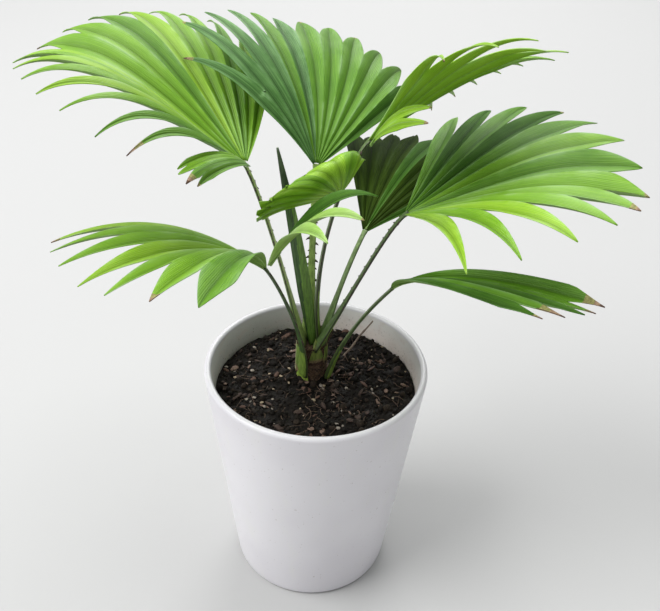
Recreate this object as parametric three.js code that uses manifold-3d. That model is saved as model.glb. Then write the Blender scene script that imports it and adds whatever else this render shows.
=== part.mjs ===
// A young footstool palm in a white tapered pot. Millimetres, +Z up, pot underside at z = 0.
// The plant is a short fibrous stem with seven leaves and a closed young leaf, the spear. Each leaf
// is a spiny stalk that ends in a pleated fan, cut into leaflets towards its rim. Every stalk and
// fan is a solid of its own, and neighbours keep a gap of 0.3 mm.
import * as THREE from "three";
import { mergeVertices } from "three/addons/utils/BufferGeometryUtils.js";
import Module from "manifold-3d";

const wasm = await Module();
wasm.setup();

// Driving dimensions
const GAP = 0.3;
const POT_HEIGHT = 207;
const POT_RIM_RADIUS = 90;
const POT_BASE_RADIUS = 67.5;
const POT_WALL = 5.5;
const POT_FLOOR = 8;
const POT_SIDES = 48;
const SOIL_LEVEL = 186;
const STEM_X = -4;
const STEM_Y = 12;
const STEM_FOOT_RADIUS = 12;
const STEM_TOP_RADIUS = 10;
const STEM_TOP = 216;
const SHEATH_FOOT = 203;
const SHEATH_TOP = 229;
const SHEATH_WALL = 1.3;
const SHEATH_FLARE = 0.34; // how fast the fibre collar opens above the stem
const STALK_RING = 6.7; // distance of the upper stalks from the stem's axis
const STALK_FOOT = [2.8, 2.2]; // half width and half depth of a stalk at its foot
const STALK_NECK = [2.3, 1.7]; // the same just below its fan
const STALK_END = 1.3; // half width inside its fan
const STALK_RINGS = 12;
const STALK_SIDES = 8;
const SPINE_LENGTH = 3.4;
const SPINE_RADIUS = 0.8;
const SPINE_SUNK = 0.9; // how much of a spine is inside its stalk
const FAN_ROOT = 4; // a fan starts this far from the point where its ribs meet
const BLADE = 2.2; // thickness of a fan
const BLADE_TIP = 0.8; // thickness at the tip of a leaflet
const PLEAT = 0.2; // depth of a pleat as a share of a leaflet's width
const POINT = 1.15; // above 1 the free end of a leaflet is hollow-sided, below 1 it is rounded
const CUT_REACH = 80; // degrees from a fan's middle at which its side cuts are given
const RIB_STEPS = 24; // straight steps along a rib
const ROWS = [1, 5, 10, 14, 18, 21, RIB_STEPS]; // steps of a rib where a fan has vertices
const DEGREE = Math.PI / 180;

const MATERIALS = {
  pot: new THREE.MeshStandardMaterial({ color: 0xe9e7ea, roughness: 0.45, metalness: 0 }),
  soil: new THREE.MeshStandardMaterial({ color: 0x2b2420, roughness: 0.95, metalness: 0 }),
  stem: new THREE.MeshStandardMaterial({ color: 0x5b4330, roughness: 0.9, metalness: 0 }),
  collar: new THREE.MeshStandardMaterial({ color: 0x8a7350, roughness: 0.9, metalness: 0 }),
  stalk: new THREE.MeshStandardMaterial({ color: 0x5f7a3a, roughness: 0.5, metalness: 0 }),
  fan: new THREE.MeshStandardMaterial({ color: 0x5f9a3c, roughness: 0.5, metalness: 0 }),
  twig: new THREE.MeshStandardMaterial({ color: 0x8b7a66, roughness: 0.9, metalness: 0 }),
};

// The leaves. at: where the ribs of a fan meet. heading, rise, roll: how the fan's middle points.
// fold: how far its two sides rise. arch, sag, sweep: how its ribs bend up or down and sideways.
// length: its longest rib, and side: how fast the ribs get shorter away from the middle.
// first, step, count: the angles of its leaflets. cut: the share of a rib where two leaflets part,
// at -80 degrees, in the middle and at 80. share: lengths of the leaflets, where they differ.
// point: how long the leaflets' points are drawn out, where that differs.
// foot: azimuth of the stalk's foot round the stem, and level: its height where that isn't the top.
const LEAVES = [
  {
    name: "upper_left", at: [-54.5, 15.5, 369.2], heading: 174.9, rise: 35.3, roll: -1.8, fold: 22.4,
    arch: -0.43, sag: 1.25, sweep: 0.47, length: 174, side: 0.42,
    first: 69.4, step: -9.38, count: 17, cut: [0.55, 0.86, 0.42],
    foot: 190, bow: [2, 0, 5], spines: 11,
  },
  {
    name: "upper_left_near", at: [-54.5, 15.5, 369.2], heading: 174.8, rise: 35.9, roll: -4.3, fold: 24.8,
    arch: -0.11, sag: 1.06, sweep: 0.61, length: 142, side: 0.39,
    first: 84.5, step: 3.77, count: 4, cut: [0.9, 0.9, 0.9], root: 4.4, point: 0.7,
  },
  {
    name: "back", at: [-5.7, 45, 355.7], heading: 98.7, rise: 56.8, roll: -24.6, fold: 20.8,
    arch: 0.64, sag: 0.64, sweep: 0.1, length: 157, side: 0.34,
    first: 46.3, step: -8.97, count: 12, cut: [0.72, 0.85, 0.2], point: 0.55,
    share: [0.87, 1, 1, 1, 1, 1, 1, 1, 1, 1, 1, 1],
    foot: 118, bow: [0, 2, 4], spines: 8,
  },
  {
    name: "middle_far", at: [29.5, 20.3, 387.5], heading: -2.1, rise: 38.8, roll: 25.3, fold: 11.6,
    arch: -0.18, sag: 0.89, sweep: -0.5, length: 149, side: 0.35,
    first: -36.1, step: 8.16, count: 12, cut: [0.4, 0.7, 0.5],
    share: [1, 1, 1, 0.93, 1, 0.97, 1, 1, 1, 1, 1, 1],
    foot: 50, bow: [-22, -16, 17.5], spines: 10,
  },
  {
    name: "middle_front", at: [32.9, 16, 386.5], heading: -22, rise: 79.7, roll: -168.5, fold: 34,
    arch: -0.8, sag: 0.39, sweep: 0.35, length: 77.7, side: 0.07,
    first: 28, step: 11.28, count: 2, cut: [0.6, 0.6, 0.6], root: 3, point: 0.7,
  },
  {
    name: "middle_near", at: [12.5, 7.5, 353.6], heading: 176, rise: -39.9, roll: 116.5, fold: 34,
    arch: 1.36, sag: 1.6, sweep: 0.05, length: 66.4, side: 0.23,
    first: -51.4, step: -12.23, count: 9, share: [1, 1, 1, 1, 0.92, 0.84, 0.82, 0.92, 0.78],
    cut: [0.92, 0.92, 0.92], root: 3, point: 0.6,
  },
  {
    name: "inner_right", at: [32, 26, 312], heading: 86.7, rise: 35, roll: 3.4, fold: 17,
    arch: 0.49, sag: 0.44, sweep: 0, length: 127, side: 0.3,
    first: 8.6, step: -8.61, count: 9, cut: [0.7, 0.86, 0.7], point: 0.55,
    foot: 350, bow: [-2, 0, 4], spines: 0,
  },
  {
    name: "right", at: [60, 12, 337], heading: -17.6, rise: 25.8, roll: -0.3, fold: 15.6,
    arch: -0.24, sag: 0.88, sweep: -0.03, length: 170, side: 0.41,
    first: -53.8, step: 10.77, count: 13, cut: [0.1, 0.84, 0.5], point: 0.75,
    foot: 290, bow: [0, -2, -4], spines: 10,
  },
  {
    name: "lower_left", at: [-38, -13, 301], heading: 225.6, rise: 45.9, roll: -10.8, fold: 17.4,
    arch: 0.8, sag: 0.46, sweep: 0.01, length: 160, side: 0.3,
    first: -36.7, step: 10.8, count: 7, cut: [0.55, 0.66, 1], point: 0.85,
    foot: 242, level: 197, bow: [17, -12, -1], spines: 6,
  },
  {
    name: "lower_left_near", at: [-38, -13, 301], heading: -25.7, rise: 60.3, roll: -8.3, fold: 17.7,
    arch: 0.12, sag: 0.97, sweep: 0, length: 113, side: 0.3,
    first: 7.2, step: -13, count: 3, cut: [0.5, 0.55, 0.5], root: 6.7, point: 0.7,
  },
  {
    name: "low_right", at: [54.1, -4, 282.6], heading: -41.7, rise: 44.5, roll: -12.7, fold: 39.8,
    arch: 1.4, sag: -0.29, sweep: 0.64, length: 165, side: 0.3,
    first: 3.2, step: -9.3, count: 5, cut: [0.8, 0.86, 0.8],
    foot: 340, level: 190, bow: [-7, -1, 12], spines: 0,
  },
];
const SPEAR = { tip: [-31, 0, 390], foot: [3, 2.2], belly: [5.6, 2.4], bow: [3, 3, 0] };
const TWIG = { foot: [22, 38], tip: [46, 48, 216], radius: 1.1 };

const vector = (list) => new THREE.Vector3(...list);
const moved = (point, along, distance) => point.clone().addScaledVector(along, distance);

// A closed geometry from its points and its triangles.
function closedMesh(points, faces) {
  const geometry = new THREE.BufferGeometry();
  const flat = points.flatMap((point) => point.toArray());
  geometry.setAttribute("position", new THREE.Float32BufferAttribute(flat, 3));
  geometry.setIndex(faces.flat());
  return geometry;
}

// A closed geometry as a manifold-3d solid.
function solidFrom(geometry) {
  const bare = geometry.clone();
  bare.deleteAttribute("normal");
  bare.deleteAttribute("uv");
  const merged = mergeVertices(bare, 1e-4);
  return new wasm.Manifold(
    new wasm.Mesh({
      numProp: 3,
      vertProperties: new Float32Array(merged.attributes.position.array),
      triVerts: new Uint32Array(merged.index.array),
    }),
  );
}

// A manifold-3d solid as a geometry.
function geometryFrom(solid) {
  const mesh = solid.getMesh();
  const geometry = new THREE.BufferGeometry();
  geometry.setAttribute("position", new THREE.BufferAttribute(mesh.vertProperties, 3));
  geometry.setIndex(new THREE.BufferAttribute(mesh.triVerts, 1));
  return geometry;
}

// A body of revolution about Z. The profile lists [radius, height] from the underside outwards.
function turned(profile, sides) {
  const points = profile.map(([radius, height]) => new THREE.Vector2(radius, height));
  return new THREE.LatheGeometry(points, sides).rotateX(Math.PI / 2);
}

// A tapered limb along a curve, with flat ends. across is its wide direction, and size(t) gives
// its half width and half depth.
function limb(curve, across, size, rings, sides) {
  const points = [];
  const faces = [];
  for (let ring = 0; ring <= rings; ring++) {
    const t = ring / rings;
    const centre = curve.getPoint(t);
    const along = curve.getTangent(t);
    const wide = moved(across, along, -across.dot(along)).normalize();
    const deep = new THREE.Vector3().crossVectors(along, wide);
    const [halfWidth, halfDepth] = size(t);
    for (let side = 0; side < sides; side++) {
      const angle = (2 * Math.PI * side) / sides;
      const edge = moved(centre, wide, halfWidth * Math.cos(angle));
      points.push(moved(edge, deep, halfDepth * Math.sin(angle)));
    }
  }
  for (let ring = 0; ring < rings; ring++) {
    for (let side = 0; side < sides; side++) {
      const a = ring * sides + side;
      const b = ring * sides + ((side + 1) % sides);
      faces.push([a, b, a + sides], [b, b + sides, a + sides]);
    }
  }
  const end = rings * sides;
  for (let side = 1; side < sides - 1; side++) {
    faces.push([0, side + 1, side], [end, end + side, end + side + 1]);
  }
  return closedMesh(points, faces);
}

// The directions of a fan: along its middle leaflet, across it, and out of its upper face.
function fanFrame({ heading, rise, roll }) {
  const [h, r, q] = [heading * DEGREE, rise * DEGREE, roll * DEGREE];
  const along = vector([Math.cos(h) * Math.cos(r), Math.sin(h) * Math.cos(r), Math.sin(r)]);
  const level = vector([-Math.cos(h) * Math.sin(r), -Math.sin(h) * Math.sin(r), Math.cos(r)]);
  const beside = new THREE.Vector3().crossVectors(level, along);
  const up = moved(level.multiplyScalar(Math.cos(q)), beside, Math.sin(q));
  const across = new THREE.Vector3().crossVectors(up, along);
  return { along, across, up };
}

// The direction in which a rib leaves the fan's root, at an angle from the middle.
function ribStart(leaf, frame, degrees) {
  const angle = degrees * DEGREE;
  const fold = leaf.fold * DEGREE;
  const start = frame.along.clone().multiplyScalar(Math.cos(angle));
  start.addScaledVector(frame.across, Math.sin(angle) * Math.cos(fold));
  return start.addScaledVector(frame.up, Math.abs(Math.sin(angle)) * Math.sin(fold));
}

// The points of one rib. It bends by arch along the fan's own face and by sag towards the ground.
function rib(leaf, frame, degrees, share) {
  const length = leaf.length * share * (1 - leaf.side * (degrees / 150) ** 2);
  const points = [vector(leaf.at)];
  for (let step = 0; step < RIB_STEPS; step++) {
    const t = (step + 0.5) / RIB_STEPS;
    const direction = ribStart(leaf, frame, degrees * (1 - leaf.sweep * t));
    direction.addScaledVector(frame.up, -leaf.arch * t);
    direction.z -= leaf.sag * t * t;
    points.push(moved(points[step], direction.normalize(), length / RIB_STEPS));
  }
  const root = points[1].clone().sub(points[0]).normalize();
  points[1] = moved(points[0], root, leaf.root ?? FAN_ROOT);
  return points;
}

// The leaflets of a fan in order of growing angle: the angle and the length share of each one.
function leaflets({ first, step, count, share }) {
  const list = Array.from({ length: count }, (_, i) => ({
    angle: first + step * i,
    share: share ? share[i] : 1,
  }));
  return step < 0 ? list.reverse() : list;
}

// The row of a fan nearest to the place where the leaflets on both sides of an angle part.
function cutRow(leaf, degrees) {
  const [below, middle, above] = leaf.cut;
  const side = degrees < 0 ? below : above;
  const cut = middle + (side - middle) * Math.min(1, Math.abs(degrees) / CUT_REACH);
  const distance = ROWS.slice(0, -1).map((step) => Math.abs(step / RIB_STEPS - cut));
  return distance.indexOf(Math.min(...distance));
}

// One fan as a closed thin solid. A leaflet has a midrib in the valley of its pleat and an edge on
// each side. Neighbours share their edge up to the cut, and from there each one narrows to its tip.
function fan(leaf) {
  const frame = fanFrame(leaf);
  const half = Math.abs(leaf.step) / 2;
  const list = leaflets(leaf);
  const ribs = list.map(({ angle, share }) => rib(leaf, frame, angle, share));
  const edges = [...list, null].map((leaflet, i) => {
    const angle = leaflet ? leaflet.angle - half : list[i - 1].angle + half;
    const near = [list[i - 1], leaflet].filter(Boolean);
    const share = near.reduce((sum, one) => sum + one.share, 0) / near.length;
    return { row: cutRow(leaf, angle), points: rib(leaf, frame, angle, share) };
  });
  const points = [];
  const faces = [];
  // A vertex of the sheet is a pair of points, one on each face. Its number is that of the upper.
  const vertex = (point, normal, thickness) => {
    points.push(moved(point, normal, thickness / 2), moved(point, normal, -thickness / 2));
    return points.length - 2;
  };
  const sheet = (a, b, c) => faces.push([a, b, c], [a + 1, c + 1, b + 1]);
  const wall = (a, b) => faces.push([a + 1, b + 1, b], [a + 1, b, a]);
  const band = (left, right, row) => {
    sheet(left[row], left[row + 1], right[row + 1]);
    sheet(left[row], right[row + 1], right[row]);
  };
  const normalAt = (i, step) => {
    const along = ribs[i][Math.min(step + 1, RIB_STEPS)].clone().sub(ribs[i][step - 1]);
    const across = edges[i + 1].points[step].clone().sub(edges[i].points[step]);
    return along.cross(across).normalize();
  };
  const sharedEdge = edges.map(({ row, points: edge }, i) => {
    return ROWS.slice(0, row + 1).map((step) => {
      const near = [i - 1, i].filter((leaflet) => ribs[leaflet]);
      const normal = near.reduce((sum, leaflet) => sum.add(normalAt(leaflet, step)), new THREE.Vector3());
      return vertex(edge[step], normal.normalize(), BLADE);
    });
  });
  ribs.forEach((middle, i) => {
    const last = ROWS.length - 1;
    const tip = vertex(middle[RIB_STEPS], normalAt(i, RIB_STEPS), BLADE_TIP);
    const freeWidth = (side, row) => {
      const start = ROWS[edges[i + side].row];
      const x = (ROWS[row] - start) / (RIB_STEPS - start);
      const offset = edges[i + side].points[start].clone().sub(middle[start]);
      return offset.multiplyScalar((1 - x) ** (leaf.point ?? POINT));
    };
    const edgeColumn = (side) =>
      ROWS.map((step, row) => {
        if (row === last) return tip;
        if (row <= edges[i + side].row) return sharedEdge[i + side][row];
        return vertex(middle[step].clone().add(freeWidth(side, row)), normalAt(i, step), BLADE);
      });
    const low = edgeColumn(0);
    const high = edgeColumn(1);
    const midrib = ROWS.map((step, row) => {
      if (row === last) return tip;
      const width = points[low[row]].distanceTo(points[high[row]]);
      const normal = normalAt(i, step);
      return vertex(moved(middle[step], normal, -PLEAT * width), normal, BLADE);
    });
    for (let row = 0; row < last; row++) {
      if (row + 1 === last) {
        sheet(low[row], tip, midrib[row]);
        sheet(midrib[row], tip, high[row]);
      } else {
        band(low, midrib, row);
        band(midrib, high, row);
      }
      if (i === 0 || row >= edges[i].row) wall(low[row], low[row + 1]);
      if (i === ribs.length - 1 || row >= edges[i + 1].row) wall(high[row + 1], high[row]);
    }
    wall(midrib[0], low[0]);
    wall(high[0], midrib[0]);
  });
  return closedMesh(points, faces);
}

// The mean direction of a fan's ribs at its root, in which its stalk enters it.
function fanLead(leaf) {
  const frame = fanFrame(leaf);
  const sum = new THREE.Vector3();
  for (const { angle } of leaflets(leaf)) sum.add(ribStart(leaf, frame, angle));
  return sum.normalize();
}

function stemRadius(height) {
  const share = (height - SOIL_LEVEL) / (STEM_TOP - SOIL_LEVEL);
  return STEM_FOOT_RADIUS + (STEM_TOP_RADIUS - STEM_FOOT_RADIUS) * share;
}

// Where a stalk starts: on the flat top of the stem, or against the stem's side at a level.
function stalkFoot(leaf) {
  const onTop = leaf.level === undefined;
  const away = onTop ? STALK_RING : stemRadius(leaf.level) + GAP + STALK_FOOT[1];
  const azimuth = leaf.foot * DEGREE;
  const height = onTop ? STEM_TOP + GAP : leaf.level;
  return vector([STEM_X + away * Math.cos(azimuth), STEM_Y + away * Math.sin(azimuth), height]);
}

// A stalk from its foot to just inside its fan's root, with a row of spines on each edge.
function stalk(leaf) {
  const foot = stalkFoot(leaf);
  const at = vector(leaf.at);
  const lead = fanLead(leaf);
  const reach = at.clone().sub(foot);
  const across = vector([-reach.y, reach.x, 0]).normalize();
  const leave = vector(leaf.bow).addScaledVector(reach, 0.4);
  const lean = Math.hypot(leave.x, leave.y) / leave.length();
  foot.z += STALK_FOOT[1] * lean; // the leaning foot's lower edge then clears the stem by the gap
  const curve = new THREE.CubicBezierCurve3(
    foot,
    foot.clone().add(leave),
    moved(at, lead, -14),
    moved(at, lead, FAN_ROOT - 0.8),
  );
  const taper = (from, to, t) => from + (to - from) * t;
  const size = (t) => {
    if (t === 1) return [STALK_END, STALK_END * 0.8];
    return [taper(STALK_FOOT[0], STALK_NECK[0], t), taper(STALK_FOOT[1], STALK_NECK[1], t)];
  };
  const body = limb(curve, across, size, STALK_RINGS, STALK_SIDES);
  if (!leaf.spines) return body;
  let solid = solidFrom(body);
  for (let i = 0; i < leaf.spines; i++) {
    const t = 0.3 + (0.58 * i) / (leaf.spines - 1);
    const along = curve.getTangent(t);
    for (const side of [-1, 1]) {
      const outward = moved(across, along, -across.dot(along)).normalize().multiplyScalar(side);
      const axis = moved(outward, along, -0.35).normalize();
      const middle = size(t)[0] - SPINE_SUNK + SPINE_LENGTH / 2;
      const centre = moved(curve.getPoint(t + 0.01 * side), axis, middle);
      const cone = new THREE.ConeGeometry(SPINE_RADIUS, SPINE_LENGTH, 4);
      const turn = new THREE.Quaternion().setFromUnitVectors(new THREE.Vector3(0, 1, 0), axis);
      cone.applyQuaternion(turn).translate(...centre.toArray());
      solid = solid.add(solidFrom(cone));
    }
  }
  return geometryFrom(solid);
}

// The closed young leaf: a narrow folded blade that stands in the middle and ends in a point.
function spear() {
  const foot = vector([STEM_X, STEM_Y, STEM_TOP + 2 * GAP]);
  const tip = vector(SPEAR.tip);
  const middle = foot.clone().lerp(tip, 0.5).add(vector(SPEAR.bow));
  const curve = new THREE.QuadraticBezierCurve3(foot, middle, tip);
  const size = (t) => {
    const swell = Math.sin(Math.PI * Math.min(1, 0.35 + t * 0.62)) ** 0.8;
    const belly = Math.min(1, t / 0.3);
    return [0, 1].map((i) => {
      const full = SPEAR.foot[i] + (SPEAR.belly[i] - SPEAR.foot[i]) * belly;
      return Math.max(0.5, full * (t < 0.3 ? 1 : swell));
    });
  };
  return limb(curve, new THREE.Vector3(1, 0, 0), size, 14, STALK_SIDES);
}

// A flared pot with a rounded lip, a thick wall and a closed floor.
function pot() {
  const slope = (POT_RIM_RADIUS - POT_BASE_RADIUS) / POT_HEIGHT;
  const outer = (height) => POT_BASE_RADIUS + slope * height;
  const lip = POT_WALL / 2;
  const profile = [[0, 0], [outer(0) - 3, 0], [outer(1) - 0.8, 1], [outer(4), 4]];
  profile.push([outer(POT_HEIGHT / 2), POT_HEIGHT / 2]);
  const centre = outer(POT_HEIGHT - lip) - lip;
  for (let turn = 0; turn <= 4; turn++) {
    const angle = (turn * Math.PI) / 4;
    profile.push([centre + lip * Math.cos(angle), POT_HEIGHT - lip + lip * Math.sin(angle)]);
  }
  profile.push([outer(POT_FLOOR) - POT_WALL, POT_FLOOR], [0, POT_FLOOR]);
  return turned(profile, POT_SIDES);
}

// The root ball: it fills the pot to just below the lip and is a little lower at its rim.
function soil() {
  const slope = (POT_RIM_RADIUS - POT_BASE_RADIUS) / POT_HEIGHT;
  const inner = (height) => POT_BASE_RADIUS + slope * height - POT_WALL - GAP - 0.2;
  const foot = POT_FLOOR + GAP;
  const rim = SOIL_LEVEL - 3;
  const profile = [[0, foot], [inner(foot), foot], [inner(rim), rim]];
  profile.push([inner(rim) - 8, SOIL_LEVEL], [0, SOIL_LEVEL]);
  return turned(profile, POT_SIDES);
}

// The stem: a short stump that tapers from a flat cut.
function stem() {
  const foot = SOIL_LEVEL + GAP;
  const profile = [[0, foot], [stemRadius(foot), foot], [STEM_TOP_RADIUS, STEM_TOP], [0, STEM_TOP]];
  return turned(profile, 20).translate(STEM_X, STEM_Y, 0);
}

// The collar of old leaf fibre round the top of the stem. It opens like a cup above it.
function collar() {
  const flare = STEM_TOP_RADIUS + GAP + SHEATH_FLARE * (SHEATH_TOP - STEM_TOP);
  const low = stemRadius(SHEATH_FOOT) + GAP;
  const bend = STEM_TOP_RADIUS + GAP + 0.2;
  const profile = [
    [low, SHEATH_FOOT],
    [low + SHEATH_WALL, SHEATH_FOOT],
    [bend + SHEATH_WALL, STEM_TOP],
    [flare + SHEATH_WALL, SHEATH_TOP],
    [flare, SHEATH_TOP],
    [bend, STEM_TOP],
    [low, SHEATH_FOOT],
  ];
  return turned(profile, 20).translate(STEM_X, STEM_Y, 0);
}

// A dead stick that stands in the soil.
function twig() {
  const foot = vector([...TWIG.foot, SOIL_LEVEL + GAP + TWIG.radius]);
  const tip = vector(TWIG.tip);
  const curve = new THREE.LineCurve3(foot, tip);
  const size = (t) => [TWIG.radius * (1 - 0.4 * t), TWIG.radius * (1 - 0.4 * t)];
  return limb(curve, new THREE.Vector3(0, 1, 0), size, 2, 6);
}

const palm = new THREE.Group();

function place(name, geometry, material) {
  const mesh = new THREE.Mesh(geometry, material);
  mesh.name = name;
  palm.add(mesh);
}

place("pot", pot(), MATERIALS.pot);
place("soil", soil(), MATERIALS.soil);
place("stem", stem(), MATERIALS.stem);
place("fibre_collar", collar(), MATERIALS.collar);
place("dry_twig", twig(), MATERIALS.twig);
place("spear", spear(), MATERIALS.fan);
for (const leaf of LEAVES) {
  place("fan_" + leaf.name, fan(leaf), MATERIALS.fan);
  if (leaf.foot !== undefined) place("stalk_" + leaf.name, stalk(leaf), MATERIALS.stalk);
}

export default palm;
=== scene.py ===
import math
import random

import bpy
import numpy as np
from mathutils import Matrix, Vector, noise


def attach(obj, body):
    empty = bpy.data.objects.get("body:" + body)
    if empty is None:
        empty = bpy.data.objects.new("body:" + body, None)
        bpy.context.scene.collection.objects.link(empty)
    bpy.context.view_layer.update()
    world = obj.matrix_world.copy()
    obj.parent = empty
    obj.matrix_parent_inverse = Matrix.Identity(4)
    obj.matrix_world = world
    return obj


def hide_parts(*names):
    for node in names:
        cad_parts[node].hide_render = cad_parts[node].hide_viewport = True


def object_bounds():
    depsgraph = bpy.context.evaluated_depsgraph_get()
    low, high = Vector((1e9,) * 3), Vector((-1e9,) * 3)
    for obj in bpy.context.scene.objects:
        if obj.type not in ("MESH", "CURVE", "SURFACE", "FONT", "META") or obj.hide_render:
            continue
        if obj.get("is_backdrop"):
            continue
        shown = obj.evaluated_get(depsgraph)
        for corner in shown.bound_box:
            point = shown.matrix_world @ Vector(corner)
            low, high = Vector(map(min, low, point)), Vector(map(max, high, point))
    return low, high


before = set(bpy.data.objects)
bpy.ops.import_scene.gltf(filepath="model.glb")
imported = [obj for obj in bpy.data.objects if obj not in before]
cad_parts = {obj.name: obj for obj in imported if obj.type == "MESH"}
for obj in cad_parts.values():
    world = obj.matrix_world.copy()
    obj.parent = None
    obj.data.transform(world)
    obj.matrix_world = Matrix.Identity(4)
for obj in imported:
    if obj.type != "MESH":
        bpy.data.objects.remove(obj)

cad_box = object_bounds()
studio = bpy.context.scene

# The camera stands in front of the plant and looks down into its pot at about 34 degrees. It is
# rolled a little to one side, as the camera of the photograph was, and has the same frame.
EYE = Vector((9.06, -506.7, 607.8)) / 1000
AIM = Vector((9.06, 0, 262.67)) / 1000
LEAN = math.radians(2.4)
FRAME_WIDTH = 660  # pixels
FOCAL_LENGTH = 800  # pixels
SENSOR_WIDTH = 36

lens = bpy.data.cameras.new("photo_camera")
lens.sensor_width = SENSOR_WIDTH
lens.lens = SENSOR_WIDTH * FOCAL_LENGTH / FRAME_WIDTH
camera = bpy.data.objects.new("photo_camera", lens)
backwards = (EYE - AIM).normalized()
level = Vector((1, 0, 0))
upright = backwards.cross(level)
sideways = level * math.cos(LEAN) + upright * math.sin(LEAN)
upwards = upright * math.cos(LEAN) - level * math.sin(LEAN)
camera.matrix_world = Matrix(
    [(sideways[i], upwards[i], backwards[i], EYE[i]) for i in range(3)] + [(0, 0, 0, 1)]
)
studio.collection.objects.link(camera)
studio.camera = camera

# The studio: a plain pale floor, a dim even sky, a broad soft lamp high at the left and one
# behind, which lights the floor there and the edges of the leaves.
FLOOR_SIZE = 14
FLOOR_COLOUR = (0.52, 0.52, 0.515, 1)
SKY_COLOUR = (0.96, 0.98, 1, 1)
SKY_STRENGTH = 0.38
LAMPS = [
    # name, place and aim in metres, width in metres, watts
    ("key_lamp", (-3.1, -0.9, 3.7), (0.0, 0.0, 0.2), 3.6, 215),
    ("top_lamp", (0.6, 0.6, 4.2), (0.2, 0.3, 0.0), 3.4, 90),
    ("back_lamp", (0.3, 3.2, 2.6), (0.2, 1.3, 0.0), 2.4, 60),
]


class Wire:
    """One output of a material's nodes. A sum written with wires adds its Math nodes."""

    def __init__(self, socket):
        self.socket = socket

    @staticmethod
    def node(tree, kind, settings=None, sockets=None, output=0):
        made = tree.nodes.new("ShaderNode" + kind)
        for name, value in (settings or {}).items():
            if name == "stops":
                for stop, (place, colour) in zip(made.color_ramp.elements, value):
                    stop.position = place
                    stop.color = colour
            else:
                setattr(made, name, value)
        for name, value in (sockets or {}).items():
            if isinstance(value, Wire):
                tree.links.new(value.socket, made.inputs[name])
            else:
                made.inputs[name].default_value = value
        return Wire(made.outputs[output])

    def maths(self, operation, first, second):
        tree = self.socket.id_data
        return Wire.node(tree, "Math", {"operation": operation}, {0: first, 1: second})

    def __add__(self, other):
        return self.maths("ADD", self, other)

    def __sub__(self, other):
        return self.maths("SUBTRACT", self, other)

    def __rsub__(self, other):
        return self.maths("SUBTRACT", other, self)

    def __mul__(self, other):
        return self.maths("MULTIPLY", self, other)

    def __pow__(self, other):
        return self.maths("POWER", self, other)

    __radd__ = __add__
    __rmul__ = __mul__


def bare_material(name):
    material = bpy.data.materials.new(name)
    material.use_nodes = True
    material.node_tree.nodes.clear()
    return material


def finish(material, sockets, relief=None, depth=0.0002):
    """Ends a material: its shader's sockets, and its relief, whose full depth is in metres."""
    tree = material.node_tree
    if relief is not None:
        bump = {"Height": relief, "Distance": depth, "Strength": 1.0}
        sockets = {**sockets, "Normal": Wire.node(tree, "Bump", None, bump)}
    shader = Wire.node(tree, "BsdfPrincipled", None, sockets)
    output = tree.nodes.new("ShaderNodeOutputMaterial")
    tree.links.new(shader.socket, output.inputs["Surface"])
    return material


def place_in(tree, scale=(1, 1, 1)):
    """Coordinates on the object, in metres times the scale."""
    spot = Wire.node(tree, "TexCoord", None, None, "Object")
    return Wire.node(tree, "VectorMath", {"operation": "MULTIPLY"}, {0: spot, 1: scale})


def clouds(tree, spot, scale, detail=3.0, rough=0.55):
    """Soft random patches between 0 and 1."""
    sockets = {"Vector": spot, "Scale": scale, "Detail": detail, "Roughness": rough}
    return Wire.node(tree, "TexNoise", None, sockets)


def step_up(tree, value, low, high):
    """0 below low, 1 above high, and smooth between them."""
    settings = {"interpolation_type": "SMOOTHSTEP"}
    sockets = {"Value": value, "From Min": low, "From Max": high}
    return Wire.node(tree, "MapRange", settings, sockets)


def tint(tree, share, first, second):
    """The first colour at share 0 and the second at share 1."""
    return Wire.node(tree, "Mix", {"data_type": "RGBA"}, {0: share, 6: first, 7: second}, 2)


floor_mesh = bpy.data.meshes.new("floor")
half = FLOOR_SIZE / 2
floor_mesh.from_pydata(
    [(-half, -half, 0), (half, -half, 0), (half, half, 0), (-half, half, 0)], [], [(0, 1, 2, 3)]
)
floor = bpy.data.objects.new("floor", floor_mesh)
studio.collection.objects.link(floor)
floor_paint = bare_material("floor_paint")
floor_mesh.materials.append(
    finish(floor_paint, {"Base Color": FLOOR_COLOUR, "Roughness": 0.9, "Specular IOR Level": 0.1})
)
floor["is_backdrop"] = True

sky = bpy.data.worlds.new("sky")
sky.use_nodes = True
sky.node_tree.nodes["Background"].inputs["Color"].default_value = SKY_COLOUR
sky.node_tree.nodes["Background"].inputs["Strength"].default_value = SKY_STRENGTH
studio.world = sky
studio.view_settings.view_transform = "Standard"
for name, place, aim, side, watts in LAMPS:
    lamp = bpy.data.lights.new(name, "AREA")
    lamp.shape = "DISK"
    lamp.size = side
    lamp.energy = watts
    stand = bpy.data.objects.new(name, lamp)
    stand.location = place
    stand.rotation_euler = (Vector(aim) - Vector(place)).to_track_quat("-Z", "Y").to_euler()
    studio.collection.objects.link(stand)

# The pot: white glazed earthenware, cast in one piece with a slight flare, a thick wall and a
# rounded lip. Its inside carries a stain of damp soil, with painted shade in it: on the left, where
# the inner wall lies in shade, the stain is painted dark grey. The ring it stands on is bare clay.
POT_HEIGHT = 207
POT_RIM_RADIUS = 90
POT_BASE_RADIUS = 67.5
POT_WALL = 5.5
POT_FLOOR = 8
POT_SIDES = 160
LIP_STEPS = 14
WALL_STEPS = 24
# The stain, and the painted shade on the left of the inner wall, fade out over this span.
STAIN_FADE = (190, 211)  # millimetres up the wall, from full stain to none
GLAZE = (0.80, 0.785, 0.815, 1)
GLAZE_SHADE = (0.735, 0.715, 0.755, 1)
GLAZE_WORN = (0.80, 0.80, 0.77, 1)
STAIN = (0.82, 0.68, 0.61, 1)
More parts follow.
